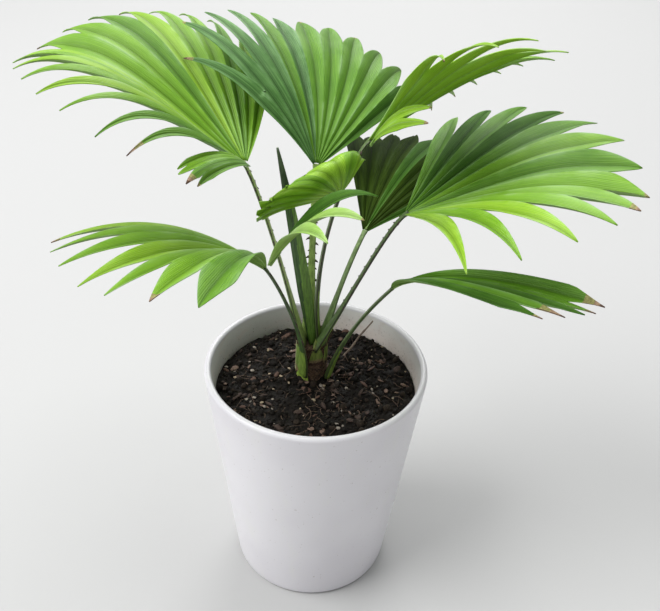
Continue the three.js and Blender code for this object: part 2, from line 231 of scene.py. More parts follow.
# Painted shade: the dark grey that the stain turns to on the left of the inner wall, where it lies in
# shade.
SHADED_STAIN_GREY = (0.36, 0.34, 0.28, 1)
STAIN_BLOT = (0.62, 0.47, 0.40, 1)
SPECK = (0.38, 0.34, 0.30, 1)
SOIL_GRIT = (0.12, 0.08, 0.055, 1)
CLAY = (0.62, 0.50, 0.40, 1)
CLAY_SAND = (0.72, 0.62, 0.52, 1)
GLAZED, STAINED_AND_SHADED, UNGLAZED = range(3)


class Heap:
    """Closed shapes gathered into one mesh. Points are in millimetres."""

    def __init__(self):
        self.points = []
        self.faces = []
        self.paint = []
        self.blade = []

    def add(self, points, faces, paint=0, blade=None):
        """paint is a number for the whole shape, or a list with one for each face."""
        first = len(self.points)
        self.points.extend(points)
        self.faces.extend([tuple(first + corner for corner in face) for face in faces])
        self.paint.extend(paint if isinstance(paint, list) else [paint] * len(faces))
        self.blade.extend(blade if blade is not None else [])

    def piece(self, name, materials):
        mesh = bpy.data.meshes.new(name)
        points = np.array(self.points, float) / 1000
        mesh.from_pydata(points.tolist(), [], self.faces)
        for material in materials:
            mesh.materials.append(material)
        mesh.polygons.foreach_set("material_index", self.paint)
        mesh.polygons.foreach_set("use_smooth", [True] * len(self.faces))
        if self.blade:
            layer = mesh.attributes.new("blade", "FLOAT_VECTOR", "POINT")
            layer.data.foreach_set("vector", np.array(self.blade, np.float32).ravel())
        mesh.update()
        made = bpy.data.objects.new(name, mesh)
        studio.collection.objects.link(made)
        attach(made, "root")
        return made


def turned(profile, sides):
    """A body of revolution about Z from [radius, height] pairs, underside first."""
    points, faces, rings = [], [], []
    for radius, height in profile:
        first = len(points)
        if radius == 0:
            points.append((0, 0, height))
            rings.append([first] * sides)
            continue
        for side in range(sides):
            angle = 2 * math.pi * side / sides
            points.append((radius * math.cos(angle), radius * math.sin(angle), height))
        rings.append(list(range(first, first + sides)))
    for low, high in zip(rings, rings[1:]):
        for side in range(sides):
            after = (side + 1) % sides
            corners = (low[side], low[after], high[after], high[side])
            faces.append(tuple(dict.fromkeys(corners)))
    return points, faces


def pot_radius(height):
    return POT_BASE_RADIUS + (POT_RIM_RADIUS - POT_BASE_RADIUS) * height / POT_HEIGHT


lip = POT_WALL / 2
lip_middle = pot_radius(POT_HEIGHT - lip) - lip
foot_ring = [[0, 0.9], [58, 0.9], [59.2, 0], [pot_radius(0) - 3.4, 0]]
foot_turn = [[pot_radius(0) - 2.2, 0.25], [pot_radius(1) - 1.1, 1.1], [pot_radius(2.4) - 0.3, 2.4]]
wall = [
    [pot_radius(height), height] for height in np.linspace(4.5, POT_HEIGHT - lip - 1, WALL_STEPS)
]
rolled = [
    [lip_middle + lip * math.cos(turn), POT_HEIGHT - lip + lip * math.sin(turn)]
    for turn in np.linspace(0, math.pi, LIP_STEPS)
]
inside = [
    [pot_radius(height) - POT_WALL, height]
    for height in np.linspace(POT_HEIGHT - lip - 2, POT_FLOOR, WALL_STEPS)
]
profile = foot_ring + foot_turn + wall + rolled + inside + [[0, POT_FLOOR]]
points, faces = turned(profile, POT_SIDES)
clay_end = len(foot_ring) - 1
glaze_end = len(foot_ring + foot_turn + wall + rolled) - 1
paint = []
for row in range(len(profile) - 1):
    coat = UNGLAZED if row < clay_end else GLAZED if row < glaze_end else STAINED_AND_SHADED
    paint += [coat] * POT_SIDES
pot_heap = Heap()
pot_heap.add(points, faces, paint)

glaze = bare_material("white_glaze")
tree = glaze.node_tree
drift = clouds(tree, place_in(tree), 9, 2)
peel = clouds(tree, place_in(tree), 420, 2)
specks = step_up(tree, clouds(tree, place_in(tree), 520, 1), 0.735, 0.775)
wear = step_up(tree, clouds(tree, place_in(tree, (1, 1, 0.35)), 60, 4), 0.52, 0.75)
body_colour = tint(tree, step_up(tree, drift, 0.35, 0.7), GLAZE, GLAZE_SHADE)
body_colour = tint(tree, wear * 0.35, body_colour, GLAZE_WORN)
body_colour = tint(tree, specks * 0.5, body_colour, SPECK)
finish(
    glaze,
    {
        "Base Color": body_colour,
        "Roughness": 0.30 + drift * 0.12 + wear * 0.08,
        "Coat Weight": 0.22,
        "Coat Roughness": 0.22,
    },
    drift * 3 + peel * 0.25 - specks * 0.5,
    0.00012,
)

stain_and_shade_glaze = bare_material("stained_and_shaded_glaze")
tree = stain_and_shade_glaze.node_tree
millimetres = place_in(tree, (1000, 1000, 1000))
high = Wire.node(tree, "SeparateXYZ", None, {0: millimetres}, 2)
right = Wire.node(tree, "SeparateXYZ", None, {0: millimetres}, 0)
blots = clouds(tree, place_in(tree, (1, 1, 1.6)), 70, 5, 0.65)
grit = step_up(tree, clouds(tree, place_in(tree), 620, 2), 0.64, 0.70)
low = 1 - step_up(tree, high + blots * 14, *STAIN_FADE)
# Painted shade: between x = 20 mm and x = -50 mm the stain turns from its own pink to dark grey,
# darkening the left of the inner wall where it lies in shade.
stain_and_shade_colour = tint(tree, step_up(tree, right, -50, 20), SHADED_STAIN_GREY, STAIN)
colour = tint(tree, 0.10 + low * 0.5, GLAZE_WORN, stain_and_shade_colour)
colour = tint(tree, step_up(tree, blots, 0.5, 0.72) * 0.35, colour, STAIN_BLOT)
colour = tint(tree, grit * low * 0.8, colour, SOIL_GRIT)
stain_relief = blots * 0.6 + grit
finish(stain_and_shade_glaze, {"Base Color": colour, "Roughness": 0.42 + low * 0.3}, stain_relief, 0.00015)

clay = bare_material("bare_clay")
tree = clay.node_tree
sand = clouds(tree, place_in(tree), 900, 4, 0.7)
clay_colour = tint(tree, sand, CLAY, CLAY_SAND)
finish(clay, {"Base Color": clay_colour, "Roughness": 0.9}, sand, 0.0003)
pot = pot_heap.piece("pot_cast", [glaze, stain_and_shade_glaze, clay])
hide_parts("pot")

# The potting mix: damp peat and bark, pressed round the roots. Its top is uneven, with crumbs,
# a few larger lumps and a hollow along the wall.
SOIL_LEVEL = 186
SOIL_RIM_DROP = 3
SOIL_RADIUS = pot_radius(SOIL_LEVEL - SOIL_RIM_DROP) - POT_WALL - 0.5
SOIL_RINGS = 84
SOIL_SIDES = 300
SOIL_FOOT = POT_FLOOR + 0.4
LUMPS = [
    # how many, smallest and largest radius in millimetres, rings of the ball
    (420, 1.7, 3.6, 5),
    (2600, 0.7, 1.7, 3),
]
STEM_PLACE = (-4, 12)
PEAT = [(0.0075, 0.0058, 0.0045, 1), (0.013, 0.0095, 0.0068, 1), (0.026, 0.0185, 0.013, 1)]
mix = random.Random(11)


def from_stem(x, y):
    return math.hypot(x - STEM_PLACE[0], y - STEM_PLACE[1])


def soil_height(x, y):
    """The top of the mix: low along the wall, mounded at the stem, and rough all over."""
    away = math.hypot(x, y)
    drop = SOIL_RIM_DROP * min(1, max(0, (away - SOIL_RADIUS + 9) / 9)) ** 1.5
    mound = 2.2 * math.exp(-((from_stem(x, y) / 22) ** 2))
    rough = 1.7 * noise.noise(Vector((x / 17, y / 17, 0.3)))
    rough += 1.2 * noise.noise(Vector((x / 6.5, y / 6.5, 4.1)))
    rough += 0.8 * noise.noise(Vector((x / 2.6, y / 2.6, 9.7)))
    return SOIL_LEVEL - 0.8 - drop + mound + rough


def ball(rings, sides):
    """Unit directions and faces of a ball with poles."""
    spots, faces = [(0, 0, -1)], []
    for ring in range(1, rings):
        tilt = math.pi * ring / rings - math.pi / 2
        for side in range(sides):
            turn = 2 * math.pi * (side + 0.5 * (ring % 2)) / sides
            flat = math.cos(tilt)
            spots.append((flat * math.cos(turn), flat * math.sin(turn), math.sin(tilt)))
    spots.append((0, 0, 1))
    top = len(spots) - 1
    for side in range(sides):
        after = (side + 1) % sides
        faces.append((0, 1 + after, 1 + side))
        last = 1 + (rings - 2) * sides
        faces.append((top, last + side, last + after))
        for ring in range(rings - 2):
            a, b = 1 + ring * sides + side, 1 + ring * sides + after
            faces.append((a, b, b + sides, a + sides))
    return np.array(spots), faces


def tumbled(rng):
    """A random turn in space."""
    angle = rng.uniform(0, 2 * math.pi)
    axis = Vector([rng.gauss(0, 1) for _ in range(3)])
    return np.array(Matrix.Rotation(angle, 3, axis.normalized()))


surface, rows = [(0, 0, SOIL_FOOT)], []
for ring in range(SOIL_RINGS + 1):
    radius = SOIL_RADIUS * (1 - ring / (SOIL_RINGS + 1)) ** 0.9
    row = []
    for side in range(SOIL_SIDES):
        turn = 2 * math.pi * (side + 0.5 * (ring % 2)) / SOIL_SIDES
        x, y = radius * math.cos(turn), radius * math.sin(turn)
        row.append((x, y, soil_height(x, y)))
    rows.append(row)
foot_radius = pot_radius(SOIL_FOOT) - POT_WALL - 0.6
foot_turns = [2 * math.pi * side / SOIL_SIDES for side in range(SOIL_SIDES)]
bottom = [
    (foot_radius * math.cos(turn), foot_radius * math.sin(turn), SOIL_FOOT) for turn in foot_turns
]
soil_faces = []
for row in [bottom] + rows:
    surface.extend(row)
surface.append((0, 0, soil_height(0, 0)))
for ring in range(len(rows)):
    for side in range(SOIL_SIDES):
        after = (side + 1) % SOIL_SIDES
        a, b = 1 + ring * SOIL_SIDES + side, 1 + ring * SOIL_SIDES + after
        soil_faces.append((a, b, b + SOIL_SIDES, a + SOIL_SIDES))
last_row = 1 + len(rows) * SOIL_SIDES
for side in range(SOIL_SIDES):
    after = (side + 1) % SOIL_SIDES
    soil_faces.append((0, 1 + after, 1 + side))
    soil_faces.append((len(surface) - 1, last_row + side, last_row + after))


def peat_material(name, colour, gloss):
    material = bare_material(name)
    tree = material.node_tree
    grain = clouds(tree, place_in(tree), 700, 4, 0.7)
    damp = step_up(tree, clouds(tree, place_in(tree), 90, 2), 0.42, 0.62)
    lighter = tuple(min(1, 2.6 * part) for part in colour[:3]) + (1,)
    finish(
        material,
        {
            "Base Color": tint(tree, step_up(tree, grain, 0.45, 0.75), colour, lighter),
            "Roughness": 0.88 - damp * gloss,
            "Specular IOR Level": 0.22,
        },
        grain,
        0.0009,
    )
    return material


peat = [peat_material(f"peat_{i}", colour, 0.35) for i, colour in enumerate(PEAT)]
soil_heap = Heap()
soil_heap.add(surface, soil_faces)
soil = soil_heap.piece("potting_mix", [peat[0]])
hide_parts("soil")

crumbs = Heap()
for count, small, large, rings in LUMPS:
    spots, lump_faces = ball(rings, rings + 2)
    for _ in range(count):
        size = small + (large - small) * mix.random() ** 2.2
        away = (SOIL_RADIUS - size - 0.4) * math.sqrt(mix.random())
        turn = mix.uniform(0, 2 * math.pi)
        x, y = away * math.cos(turn), away * math.sin(turn)
        if from_stem(x, y) < 12.5:
            continue
        stretch = np.array([mix.uniform(0.7, 1.35), mix.uniform(0.6, 1.1), mix.uniform(0.5, 0.9)])
        knobs = np.array([mix.uniform(0.78, 1.15) for _ in spots])[:, None]
        shape = (spots * knobs * stretch * size) @ tumbled(mix).T
        shape += (x, y, soil_height(x, y) + size * mix.uniform(0.05, 0.45))
        crumbs.add(shape.tolist(), lump_faces, mix.choice([0, 0, 1, 1, 2]))
crumb_piece = crumbs.piece("soil_crumbs", peat)

# Bits in the mix: flakes of pine bark, pale chips of wood and fine dead roots. They lie where
# they fell when the pot was filled.
BARK_FLAKES = 150
PALE_CHIPS = 70
DEAD_ROOTS = 130
BARK = [(0.15, 0.078, 0.052, 1), (0.07, 0.038, 0.026, 1), (0.26, 0.165, 0.12, 1)]
PALE = [(0.50, 0.39, 0.26, 1), (0.42, 0.36, 0.30, 1)]
ROOT_BROWN = (0.20, 0.13, 0.09, 1)


def limb(centres, across, section):
    """A closed limb. section(i) lists the (wide, deep) offsets of ring i, all of one count."""
    centres = np.array(centres, float)
    along = np.gradient(centres, axis=0)
    points, faces = [], []
    for i, centre in enumerate(centres):
        lead = along[i] / np.linalg.norm(along[i])
        wide = np.array(across, float) - lead * np.dot(across, lead)
        wide /= np.linalg.norm(wide)
        deep = np.cross(lead, wide)
        ring = section(i)
        points += [(centre + wide * w + deep * d).tolist() for w, d in ring]
    sides = len(ring)
    for i in range(len(centres) - 1):
        for side in range(sides):
            a, b = i * sides + side, i * sides + (side + 1) % sides
            faces.append((a, b, b + sides, a + sides))
    first, last = len(points), (len(centres) - 1) * sides
    points += [centres[0].tolist(), centres[-1].tolist()]
    for side in range(sides):
        after = (side + 1) % sides
        faces.append((first, after, side))
        faces.append((first + 1, last + side, last + after))
    return points, faces


def oval(wide, deep, sides):
    turns = [2 * math.pi * side / sides for side in range(sides)]
    return [(wide * math.cos(turn), deep * math.sin(turn)) for turn in turns]


def wood_material(name, colour, roughness=0.8):
    material = bare_material(name)
    tree = material.node_tree
    grain = clouds(tree, place_in(tree), 850, 5, 0.7)
    darker = tuple(0.45 * part for part in colour[:3]) + (1,)
    finish(
        material,
        {
            "Base Color": tint(tree, step_up(tree, grain, 0.35, 0.7), darker, colour),
            "Roughness": roughness - grain * 0.15,
        },
        grain,
        0.0004,
    )
    return material


bark = [wood_material(f"bark_flake_{i}", colour) for i, colour in enumerate(BARK)]
pale_wood = [wood_material(f"pale_chip_{i}", colour) for i, colour in enumerate(PALE)]
chips = Heap()
for number in range(BARK_FLAKES + PALE_CHIPS):
    pale_chip = number >= BARK_FLAKES
    length = mix.uniform(1.6, 4.0) if pale_chip else 3.6 + 7.5 * mix.random() ** 1.6
    wide = length * (mix.uniform(0.25, 0.5) if pale_chip else mix.uniform(0.14, 0.32))
    deep = mix.uniform(0.3, 0.55)
    away = (SOIL_RADIUS - length / 2 - 1) * math.sqrt(mix.random())
    turn = mix.uniform(0, 2 * math.pi)
    x, y = away * math.cos(turn), away * math.sin(turn)
    if from_stem(x, y) < 14:
        continue
    heading, tilt = mix.uniform(0, 2 * math.pi), mix.gauss(0, 0.22)
    ahead = np.array([math.cos(heading), math.sin(heading), 0])
    lead = ahead * math.cos(tilt) + (0, 0, math.sin(tilt))
    aside = np.array([-math.sin(heading), math.cos(heading), mix.gauss(0, 0.3)])
    middle = np.array([x, y, soil_height(x, y) + 0.9 + deep])
    bend = mix.gauss(0, 0.06) * length
    shares = [-0.5, -0.3, 0, 0.28, 0.5]
    centres = [middle + lead * s * length + (0, 0, bend * (1 - 4 * s * s)) for s in shares]
    swell = [mix.uniform(0.15, 0.6), mix.uniform(0.7, 1), 1]
    swell += [mix.uniform(0.6, 1), mix.uniform(0.1, 0.5)]
    flake = limb(centres, aside, lambda i: oval(wide * swell[i], deep * swell[i], 6))
    tone = len(BARK) + mix.randrange(len(PALE)) if pale_chip else mix.randrange(len(BARK))
    chips.add(*flake, tone)
chip_piece = chips.piece("bark_chips", bark + pale_wood)

root_material = wood_material("dead_root", ROOT_BROWN)
roots = Heap()
for _ in range(DEAD_ROOTS):
    length = mix.uniform(6, 22)
    away = (SOIL_RADIUS - length / 2 - 2) * math.sqrt(mix.random())
    turn, heading, curl = mix.uniform(0, 6.28), mix.uniform(0, 6.28), mix.gauss(0, 0.09)
    x, y = away * math.cos(turn), away * math.sin(turn)
    centres = []
    for bit in range(9):
        centres.append((x, y, soil_height(x, y) + 0.7 + 0.9 * math.sin(bit * 0.8 + turn)))
        x += length / 8 * math.cos(heading + curl * bit * bit * 0.5)
        y += length / 8 * math.sin(heading + curl * bit * bit * 0.5)
    thick = mix.uniform(0.16, 0.34)
    if max(math.hypot(cx, cy) for cx, cy, _ in centres) > SOIL_RADIUS - 1:
        continue
    roots.add(*limb(centres, (0.02, 0.01, 1), lambda i: oval(thick, thick, 4)))
root_piece = roots.piece("dead_roots", [root_material])

# The dead stick: a thin dry twig pushed into the mix, a little crooked, with two joints and a
# snapped tip.
TWIG_FOOT = (22, 38)
TWIG_TIP = (46, 48, 216)
TWIG_RADIUS = 1.1
TWIG_RINGS = 26
TWIG_BROWN = (0.36, 0.27, 0.21, 1)
foot = np.array([*TWIG_FOOT, soil_height(*TWIG_FOOT) - 1])
tip = np.array(TWIG_TIP, float)
twig_centres, twig_sizes = [], []
for ring in range(TWIG_RINGS + 1):
    t = ring / TWIG_RINGS
    wander = np.array([0.5 * math.sin(7 * t), 0.4 * math.cos(9 * t + 1), 0]) * math.sin(math.pi * t)
    joint = sum(0.35 * math.exp(-(((t - spot) / 0.025) ** 2)) for spot in (0.36, 0.71))
    twig_centres.append(foot + (tip - foot) * t + wander)
    twig_sizes.append(TWIG_RADIUS * (1 - 0.42 * t) + joint)


def twig_section(i):
    round_ring = oval(twig_sizes[i], twig_sizes[i], 8)
    return [(w * (1 + 0.12 * math.sin(3 * n + i)), d) for n, (w, d) in enumerate(round_ring)]


twig_heap = Heap()
twig_heap.add(*limb(twig_centres, (0, 1, 0), twig_section))
twig = twig_heap.piece("dry_stick", [wood_material("dry_twig", TWIG_BROWN, 0.85)])
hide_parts("dry_twig")

# The stem: a short palm trunk, ringed by the scars of shed leaves and wrapped in the coarse
# brown fibre of their bases, whose threads cross it on the slant.
STEM_FOOT_RADIUS = 12
STEM_TOP_RADIUS = 10
STEM_TOP = 216
STEM_RINGS = 60
STEM_SIDES = 88
SCAR_PITCH = 5.2
WRAP_THREADS = 150
STEM_BROWN = (0.115, 0.066, 0.042, 1)
STEM_TAN = (0.27, 0.175, 0.11, 1)
STEM_DAMP = (0.045, 0.03, 0.022, 1)
THREADS = [(0.17, 0.085, 0.045, 1), (0.30, 0.19, 0.115, 1), (0.075, 0.042, 0.028, 1)]


def stem_radius(height):
    share = (height - SOIL_LEVEL) / (STEM_TOP - SOIL_LEVEL)
    return STEM_FOOT_RADIUS + (STEM_TOP_RADIUS - STEM_FOOT_RADIUS) * share


def stem_spot(turn, away, height):
    return (STEM_PLACE[0] + away * math.cos(turn), STEM_PLACE[1] + away * math.sin(turn), height)


stem_profile = [[0, SOIL_LEVEL - 3]]
stem_profile += [[1, height] for height in np.linspace(SOIL_LEVEL - 3, STEM_TOP, STEM_RINGS)]
stem_profile += [[0, STEM_TOP]]
stem_points, stem_faces = turned(stem_profile, STEM_SIDES)
for n, (x, y, height) in enumerate(stem_points):
    turn = math.atan2(y, x)
    if x == 0 and y == 0:
        stem_points[n] = stem_spot(0, 0, height)
        continue
    scar = ((height + 1.1 * math.sin(2 * turn + 1) + 0.5 * math.sin(5 * turn)) / SCAR_PITCH) % 1
    ledge = 0.75 * scar**2.5 - 0.2
    slant = noise.noise(Vector((turn * 9 + height * 0.75, height * 0.12, 1.7)))
    other = noise.noise(Vector((turn * 9 - height * 0.75, height * 0.12, 6.2)))
    lump = noise.noise(Vector((turn * 1.6, height / 9, 2.2)))
    away = stem_radius(height) - 0.7 + ledge + 0.55 * slant + 0.5 * other + 0.9 * lump
    stem_points[n] = stem_spot(turn, away, height)
trunk_bark = bare_material("fibrous_bark")
tree = trunk_bark.node_tree
streak = clouds(tree, place_in(tree, (1, 1, 0.25)), 700, 5, 0.7)
patch = clouds(tree, place_in(tree), 140, 3)
bark_colour = tint(tree, step_up(tree, streak, 0.38, 0.68), STEM_BROWN, STEM_TAN)
bark_colour = tint(tree, step_up(tree, patch, 0.5, 0.7) * 0.6, bark_colour, STEM_DAMP)
finish(trunk_bark, {"Base Color": bark_colour, "Roughness": 0.88}, streak + patch * 0.5, 0.0008)
stem_heap = Heap()
stem_heap.add(stem_points, stem_faces)
stem = stem_heap.piece("trunk", [trunk_bark])
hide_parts("stem")

thread_wood = [wood_material(f"leaf_fibre_{i}", colour) for i, colour in enumerate(THREADS)]
threads = Heap()
for _ in range(WRAP_THREADS):
    turn, height = mix.uniform(0, 6.28), mix.uniform(SOIL_LEVEL - 1, STEM_TOP - 5)
    lean = mix.choice([-1, 1]) * mix.uniform(0.55, 1.4)
    length, thick = mix.uniform(5, 13), mix.uniform(0.16, 0.36)
    lift, centres = mix.uniform(0.1, 0.7), []
    for bit in range(8):
        share = bit / 7
        climb = height + length * share * 0.62
        spread = turn + lean * length * share / 18
        stand = 0.25 + lift * math.sin(math.pi * share) + (0.9 * share**3 if lift > 0.55 else 0)
        centres.append(stem_spot(spread, stem_radius(climb) + stand, climb))
    thread = limb(centres, (0.03, 0.02, 1), lambda i: oval(thick, thick, 4))
    threads.add(*thread, mix.randrange(len(THREADS)))
thread_piece = threads.piece("trunk_fibres", thread_wood)

# The fibre collar: the woven net that is left where old leaf bases clasped the crown. It is a
# thin torn cup, with threads that run both ways round it and fray out at its lip.
COLLAR_FOOT = 203
COLLAR_TOP = 229
COLLAR_FLARE = 0.34
COLLAR_SIDES = 96
COLLAR_RINGS = 26
COLLAR_THREADS = 170
COLLAR_TUFT = 14
COLLAR_SKIN = (0.105, 0.052, 0.03, 1)


def collar_radius(height):
    if height < STEM_TOP:
        return stem_radius(height) + 0.9
    return STEM_TOP_RADIUS + 1.1 + COLLAR_FLARE * (height - STEM_TOP)


def collar_top(turn):
    """The torn lip is high at the back and low where the front leaves push out."""
    torn = 2.6 * noise.noise(Vector((turn * 2.2, 0.5, 0.5)))
    torn += 1.6 * noise.noise(Vector((turn * 7, 3, 1)))
    return 219.5 + 5.5 * max(0, math.sin(turn + 0.3)) + torn


collar_points, collar_faces = [], []
for skin in (0, 1):
    for ring in range(COLLAR_RINGS + 1):
        for side in range(COLLAR_SIDES):
            turn = 2 * math.pi * side / COLLAR_SIDES
            height = COLLAR_FOOT + (collar_top(turn) - COLLAR_FOOT) * ring / COLLAR_RINGS
            weave = math.sin(turn * 26 + height * 1.5) + math.sin(turn * 26 - height * 1.5)
            away = collar_radius(height) + 0.22 * weave - 0.45 * skin
            collar_points.append(stem_spot(turn, away, height))
layer = (COLLAR_RINGS + 1) * COLLAR_SIDES
for ring in range(COLLAR_RINGS):
    for side in range(COLLAR_SIDES):
        a = ring * COLLAR_SIDES + side
        b = ring * COLLAR_SIDES + (side + 1) % COLLAR_SIDES
        collar_faces.append((a, b, b + COLLAR_SIDES, a + COLLAR_SIDES))
        a, b = a + layer, b + layer
        collar_faces.append((a, a + COLLAR_SIDES, b + COLLAR_SIDES, b))
for side in range(COLLAR_SIDES):
    after = (side + 1) % COLLAR_SIDES
    collar_faces.append((side, side + layer, after + layer, after))
    high = COLLAR_RINGS * COLLAR_SIDES
    collar_faces.append((high + side, high + after, high + after + layer, high + side + layer))
collar_heap = Heap()
collar_heap.add(collar_points, collar_faces, len(THREADS))
for _ in range(COLLAR_THREADS):
    turn, lean = mix.uniform(0, 6.28), mix.choice([-1, 1]) * mix.uniform(0.4, 1.1)
    start = mix.uniform(COLLAR_FOOT - 2, 213)
    end = min(collar_top(turn) + mix.uniform(-1, 3.6), COLLAR_TOP + 2)
    end += COLLAR_TUFT * mix.random() ** 2 * max(0, math.cos(turn + 0.9))
    thick, centres = mix.uniform(0.13, 0.3), []
    for bit in range(9):
        share = bit / 8
        height = start + (end - start) * share
        spread = turn + lean * (end - start) * share / 20
        fray = 1.4 * share**4 * mix.uniform(-0.6, 1)
        centres.append(stem_spot(spread, collar_radius(height) + 0.35 + fray, height))
    sizes = [thick * (1 - 0.07 * bit) for bit in range(9)]
    thread = limb(centres, (0.03, 0.02, 1), lambda i: oval(sizes[i], sizes[i], 4))
    collar_heap.add(*thread, mix.randrange(len(THREADS)))
collar_wood = wood_material("collar_skin", COLLAR_SKIN)
collar = collar_heap.piece("woven_collar", thread_wood + [collar_wood])
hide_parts("fibre_collar")

# The leaf stalks: firm green stems, flat and slightly channelled on the side that faces the
# crown, rounded beneath, with hooked dark spines along both edges. Each clasps the trunk with a
# broad sheath at its foot.
STEPS = 48
FAN_ROOT = 4
STALK_FOOT = (2.8, 2.2)
STALK_NECK = (2.3, 1.7)
STALK_RING = 6.7
STALK_CLASP = 0.42
STALK_RINGS = 56
STALK_SIDES = 20
STALK_CHANNEL = 0.12
SPINE_LENGTH = 3.4
GAP = 0.3
LEAVES = {
    # at: the fan's root in millimetres. heading, rise, roll: which way the fan faces, in degrees.
    # fold: how steeply its halves rise. arch, sag: its bend along its own face and to the ground.
    # sweep: how far its outer ribs turn inwards. length: its middle rib. side: how much shorter
    # the outer ones are. first, step, count: angles of its leaflets. share: their lengths beside
    # the others'. cut: where the leaflets part, at the low side, in the middle and at the high
    # side. point: how soon they narrow. root: where the blade starts. foot, level: the stalk's
    # azimuth round the stem, and its height where it stands on the stem's side. bow: the
    # stalk's bend. spines: how many pairs of large ones.
    "upper_left": dict(
        at=(-54.5, 15.5, 369.2), heading=174.9, rise=35.3, roll=-1.8, fold=22.4, arch=-0.43,
        sag=1.25, sweep=0.47, length=174, side=0.42, first=69.4, step=-9.38, count=17,
        cut=(0.55, 0.86, 0.42), foot=190, bow=(2, 0, 5), spines=11,
    ),
    "upper_left_near": dict(
        at=(-54.5, 15.5, 369.2), heading=174.8, rise=35.9, roll=-4.3, fold=24.8, arch=-0.11,
        sag=1.06, sweep=0.61, length=142, side=0.39, first=84.5, step=3.77, count=4,
        cut=(0.9, 0.9, 0.9), share=(0.86, 0.95, 1, 0.96), root=4.4, point=0.8,
    ),
    "back": dict(
        at=(-5.7, 45, 355.7), heading=98.7, rise=56.8, roll=-24.6, fold=20.8, arch=0.64, sag=0.64,
        sweep=0.1, length=157, side=0.34, first=46.3, step=-8.97, count=12, cut=(0.68, 0.79, 0.2),
        share=(0.87, 1, 1, 1, 1, 1, 1, 1, 1, 1, 1, 1), point=0.75,
        foot=118, bow=(0, 2, 4), spines=8,
    ),
    "middle_far": dict(
        at=(29.5, 20.3, 387.5), heading=-2.1, rise=38.8, roll=25.3, fold=11.6, arch=-0.18,
        sag=0.89, sweep=-0.5, length=149, side=0.35, first=-36.1, step=8.16, count=12,
        cut=(0.4, 0.7, 0.5), share=(1, 1, 1, 0.93, 1, 0.97, 1, 1, 1, 1, 1, 1),
        foot=50, bow=(-22, -16, 17.5), spines=10,
    ),
    "middle_front": dict(
        at=(32.9, 16, 386.5), heading=-22, rise=79.7, roll=-168.5, fold=34, arch=-0.8, sag=0.39,
        sweep=0.35, length=77.7, side=0.07, first=28, step=11.28, count=2, cut=(0.6, 0.6, 0.6),
        root=3, point=0.7,
    ),
    "middle_near": dict(
        at=(12.5, 7.5, 353.6), heading=176, rise=-39.9, roll=116.5, fold=34, arch=1.36, sag=1.6,
        sweep=0.05, length=66.4, side=0.23, first=-51.4, step=-12.23, count=9,
        share=(1.06, 1.07, 1.07, 1.04, 0.93, 0.84, 0.82, 0.92, 0.78), cut=(0.92, 0.92, 0.92),
        root=3, point=0.6,
    ),
    "inner_right": dict(
        at=(32, 26, 312), heading=86.7, rise=35, roll=3.4, fold=17, arch=0.49, sag=0.44,
        sweep=0, length=127, side=0.3, first=8.6, step=-8.61, count=9, cut=(0.7, 0.86, 0.7),
        point=0.55, foot=350, bow=(-2, 0, 4), spines=0,
    ),
    "right": dict(
        at=(60, 12, 337), heading=-17.6, rise=25.8, roll=-0.3, fold=15.6, arch=-0.24, sag=0.88,
        sweep=-0.03, length=170, side=0.41, first=-53.8, step=10.77, count=13,
        cut=(0.1, 0.84, 0.5), point=0.75, foot=290, bow=(0, -2, -4), spines=10,
    ),
    "lower_left": dict(
        at=(-38, -13, 301), heading=225.6, rise=45.9, roll=-10.8, fold=17.4, arch=0.8, sag=0.46,
        sweep=0.01, length=160, side=0.3, first=-36.7, step=10.8, count=7, cut=(0.55, 0.66, 1),
        point=0.85, foot=242, level=197, bow=(17, -12, -1), spines=6,
    ),
    "lower_left_near": dict(
        at=(-38, -13, 301), heading=-25.7, rise=60.3, roll=-8.3, fold=17.7, arch=0.12, sag=0.97,
        sweep=0, length=113, side=0.3, first=7.2, step=-13, count=3, cut=(0.5, 0.55, 0.5),
        root=6.7, point=0.7,
    ),
    "low_right": dict(
        at=(54.1, -4, 282.6), heading=-41.7, rise=44.5, roll=-12.7, fold=39.8, arch=1.4,
        sag=-0.29, sweep=0.64, length=165, side=0.3, first=3.2, step=-9.3, count=5,
        cut=(0.8, 0.86, 0.8), foot=340, level=190, bow=(-7, -1, 12), spines=0,
    ),
}
STALK_GREENS = {
    # the stalk's rounded back, its channelled face and its two edges
    "upper_left": ((0.17, 0.27, 0.055, 1), (0.30, 0.40, 0.12, 1), (0.055, 0.085, 0.025, 1)),
    "back": ((0.15, 0.25, 0.05, 1), (0.24, 0.35, 0.085, 1), (0.10, 0.15, 0.04, 1)),
    "middle_far": ((0.075, 0.11, 0.04, 1), (0.11, 0.16, 0.06, 1), (0.045, 0.05, 0.022, 1)),
    "inner_right": ((0.16, 0.26, 0.085, 1), (0.22, 0.33, 0.12, 1), (0.11, 0.17, 0.05, 1)),
    "right": ((0.055, 0.095, 0.026, 1), (0.10, 0.16, 0.05, 1), (0.035, 0.045, 0.018, 1)),
    "lower_left": ((0.05, 0.10, 0.026, 1), (0.11, 0.18, 0.05, 1), (0.05, 0.07, 0.022, 1)),
    "low_right": ((0.075, 0.13, 0.035, 1), (0.13, 0.20, 0.06, 1), (0.06, 0.09, 0.028, 1)),
}
SPINE_HORN = (0.055, 0.022, 0.012, 1)
STALK_FOOT_GREEN = (0.19, 0.30, 0.05, 1)
BACK, FACE, EDGE, HORN, CLASPING = range(5)


def unit(vector):
    vector = np.asarray(vector, float)
    return vector / np.linalg.norm(vector, axis=-1, keepdims=True)


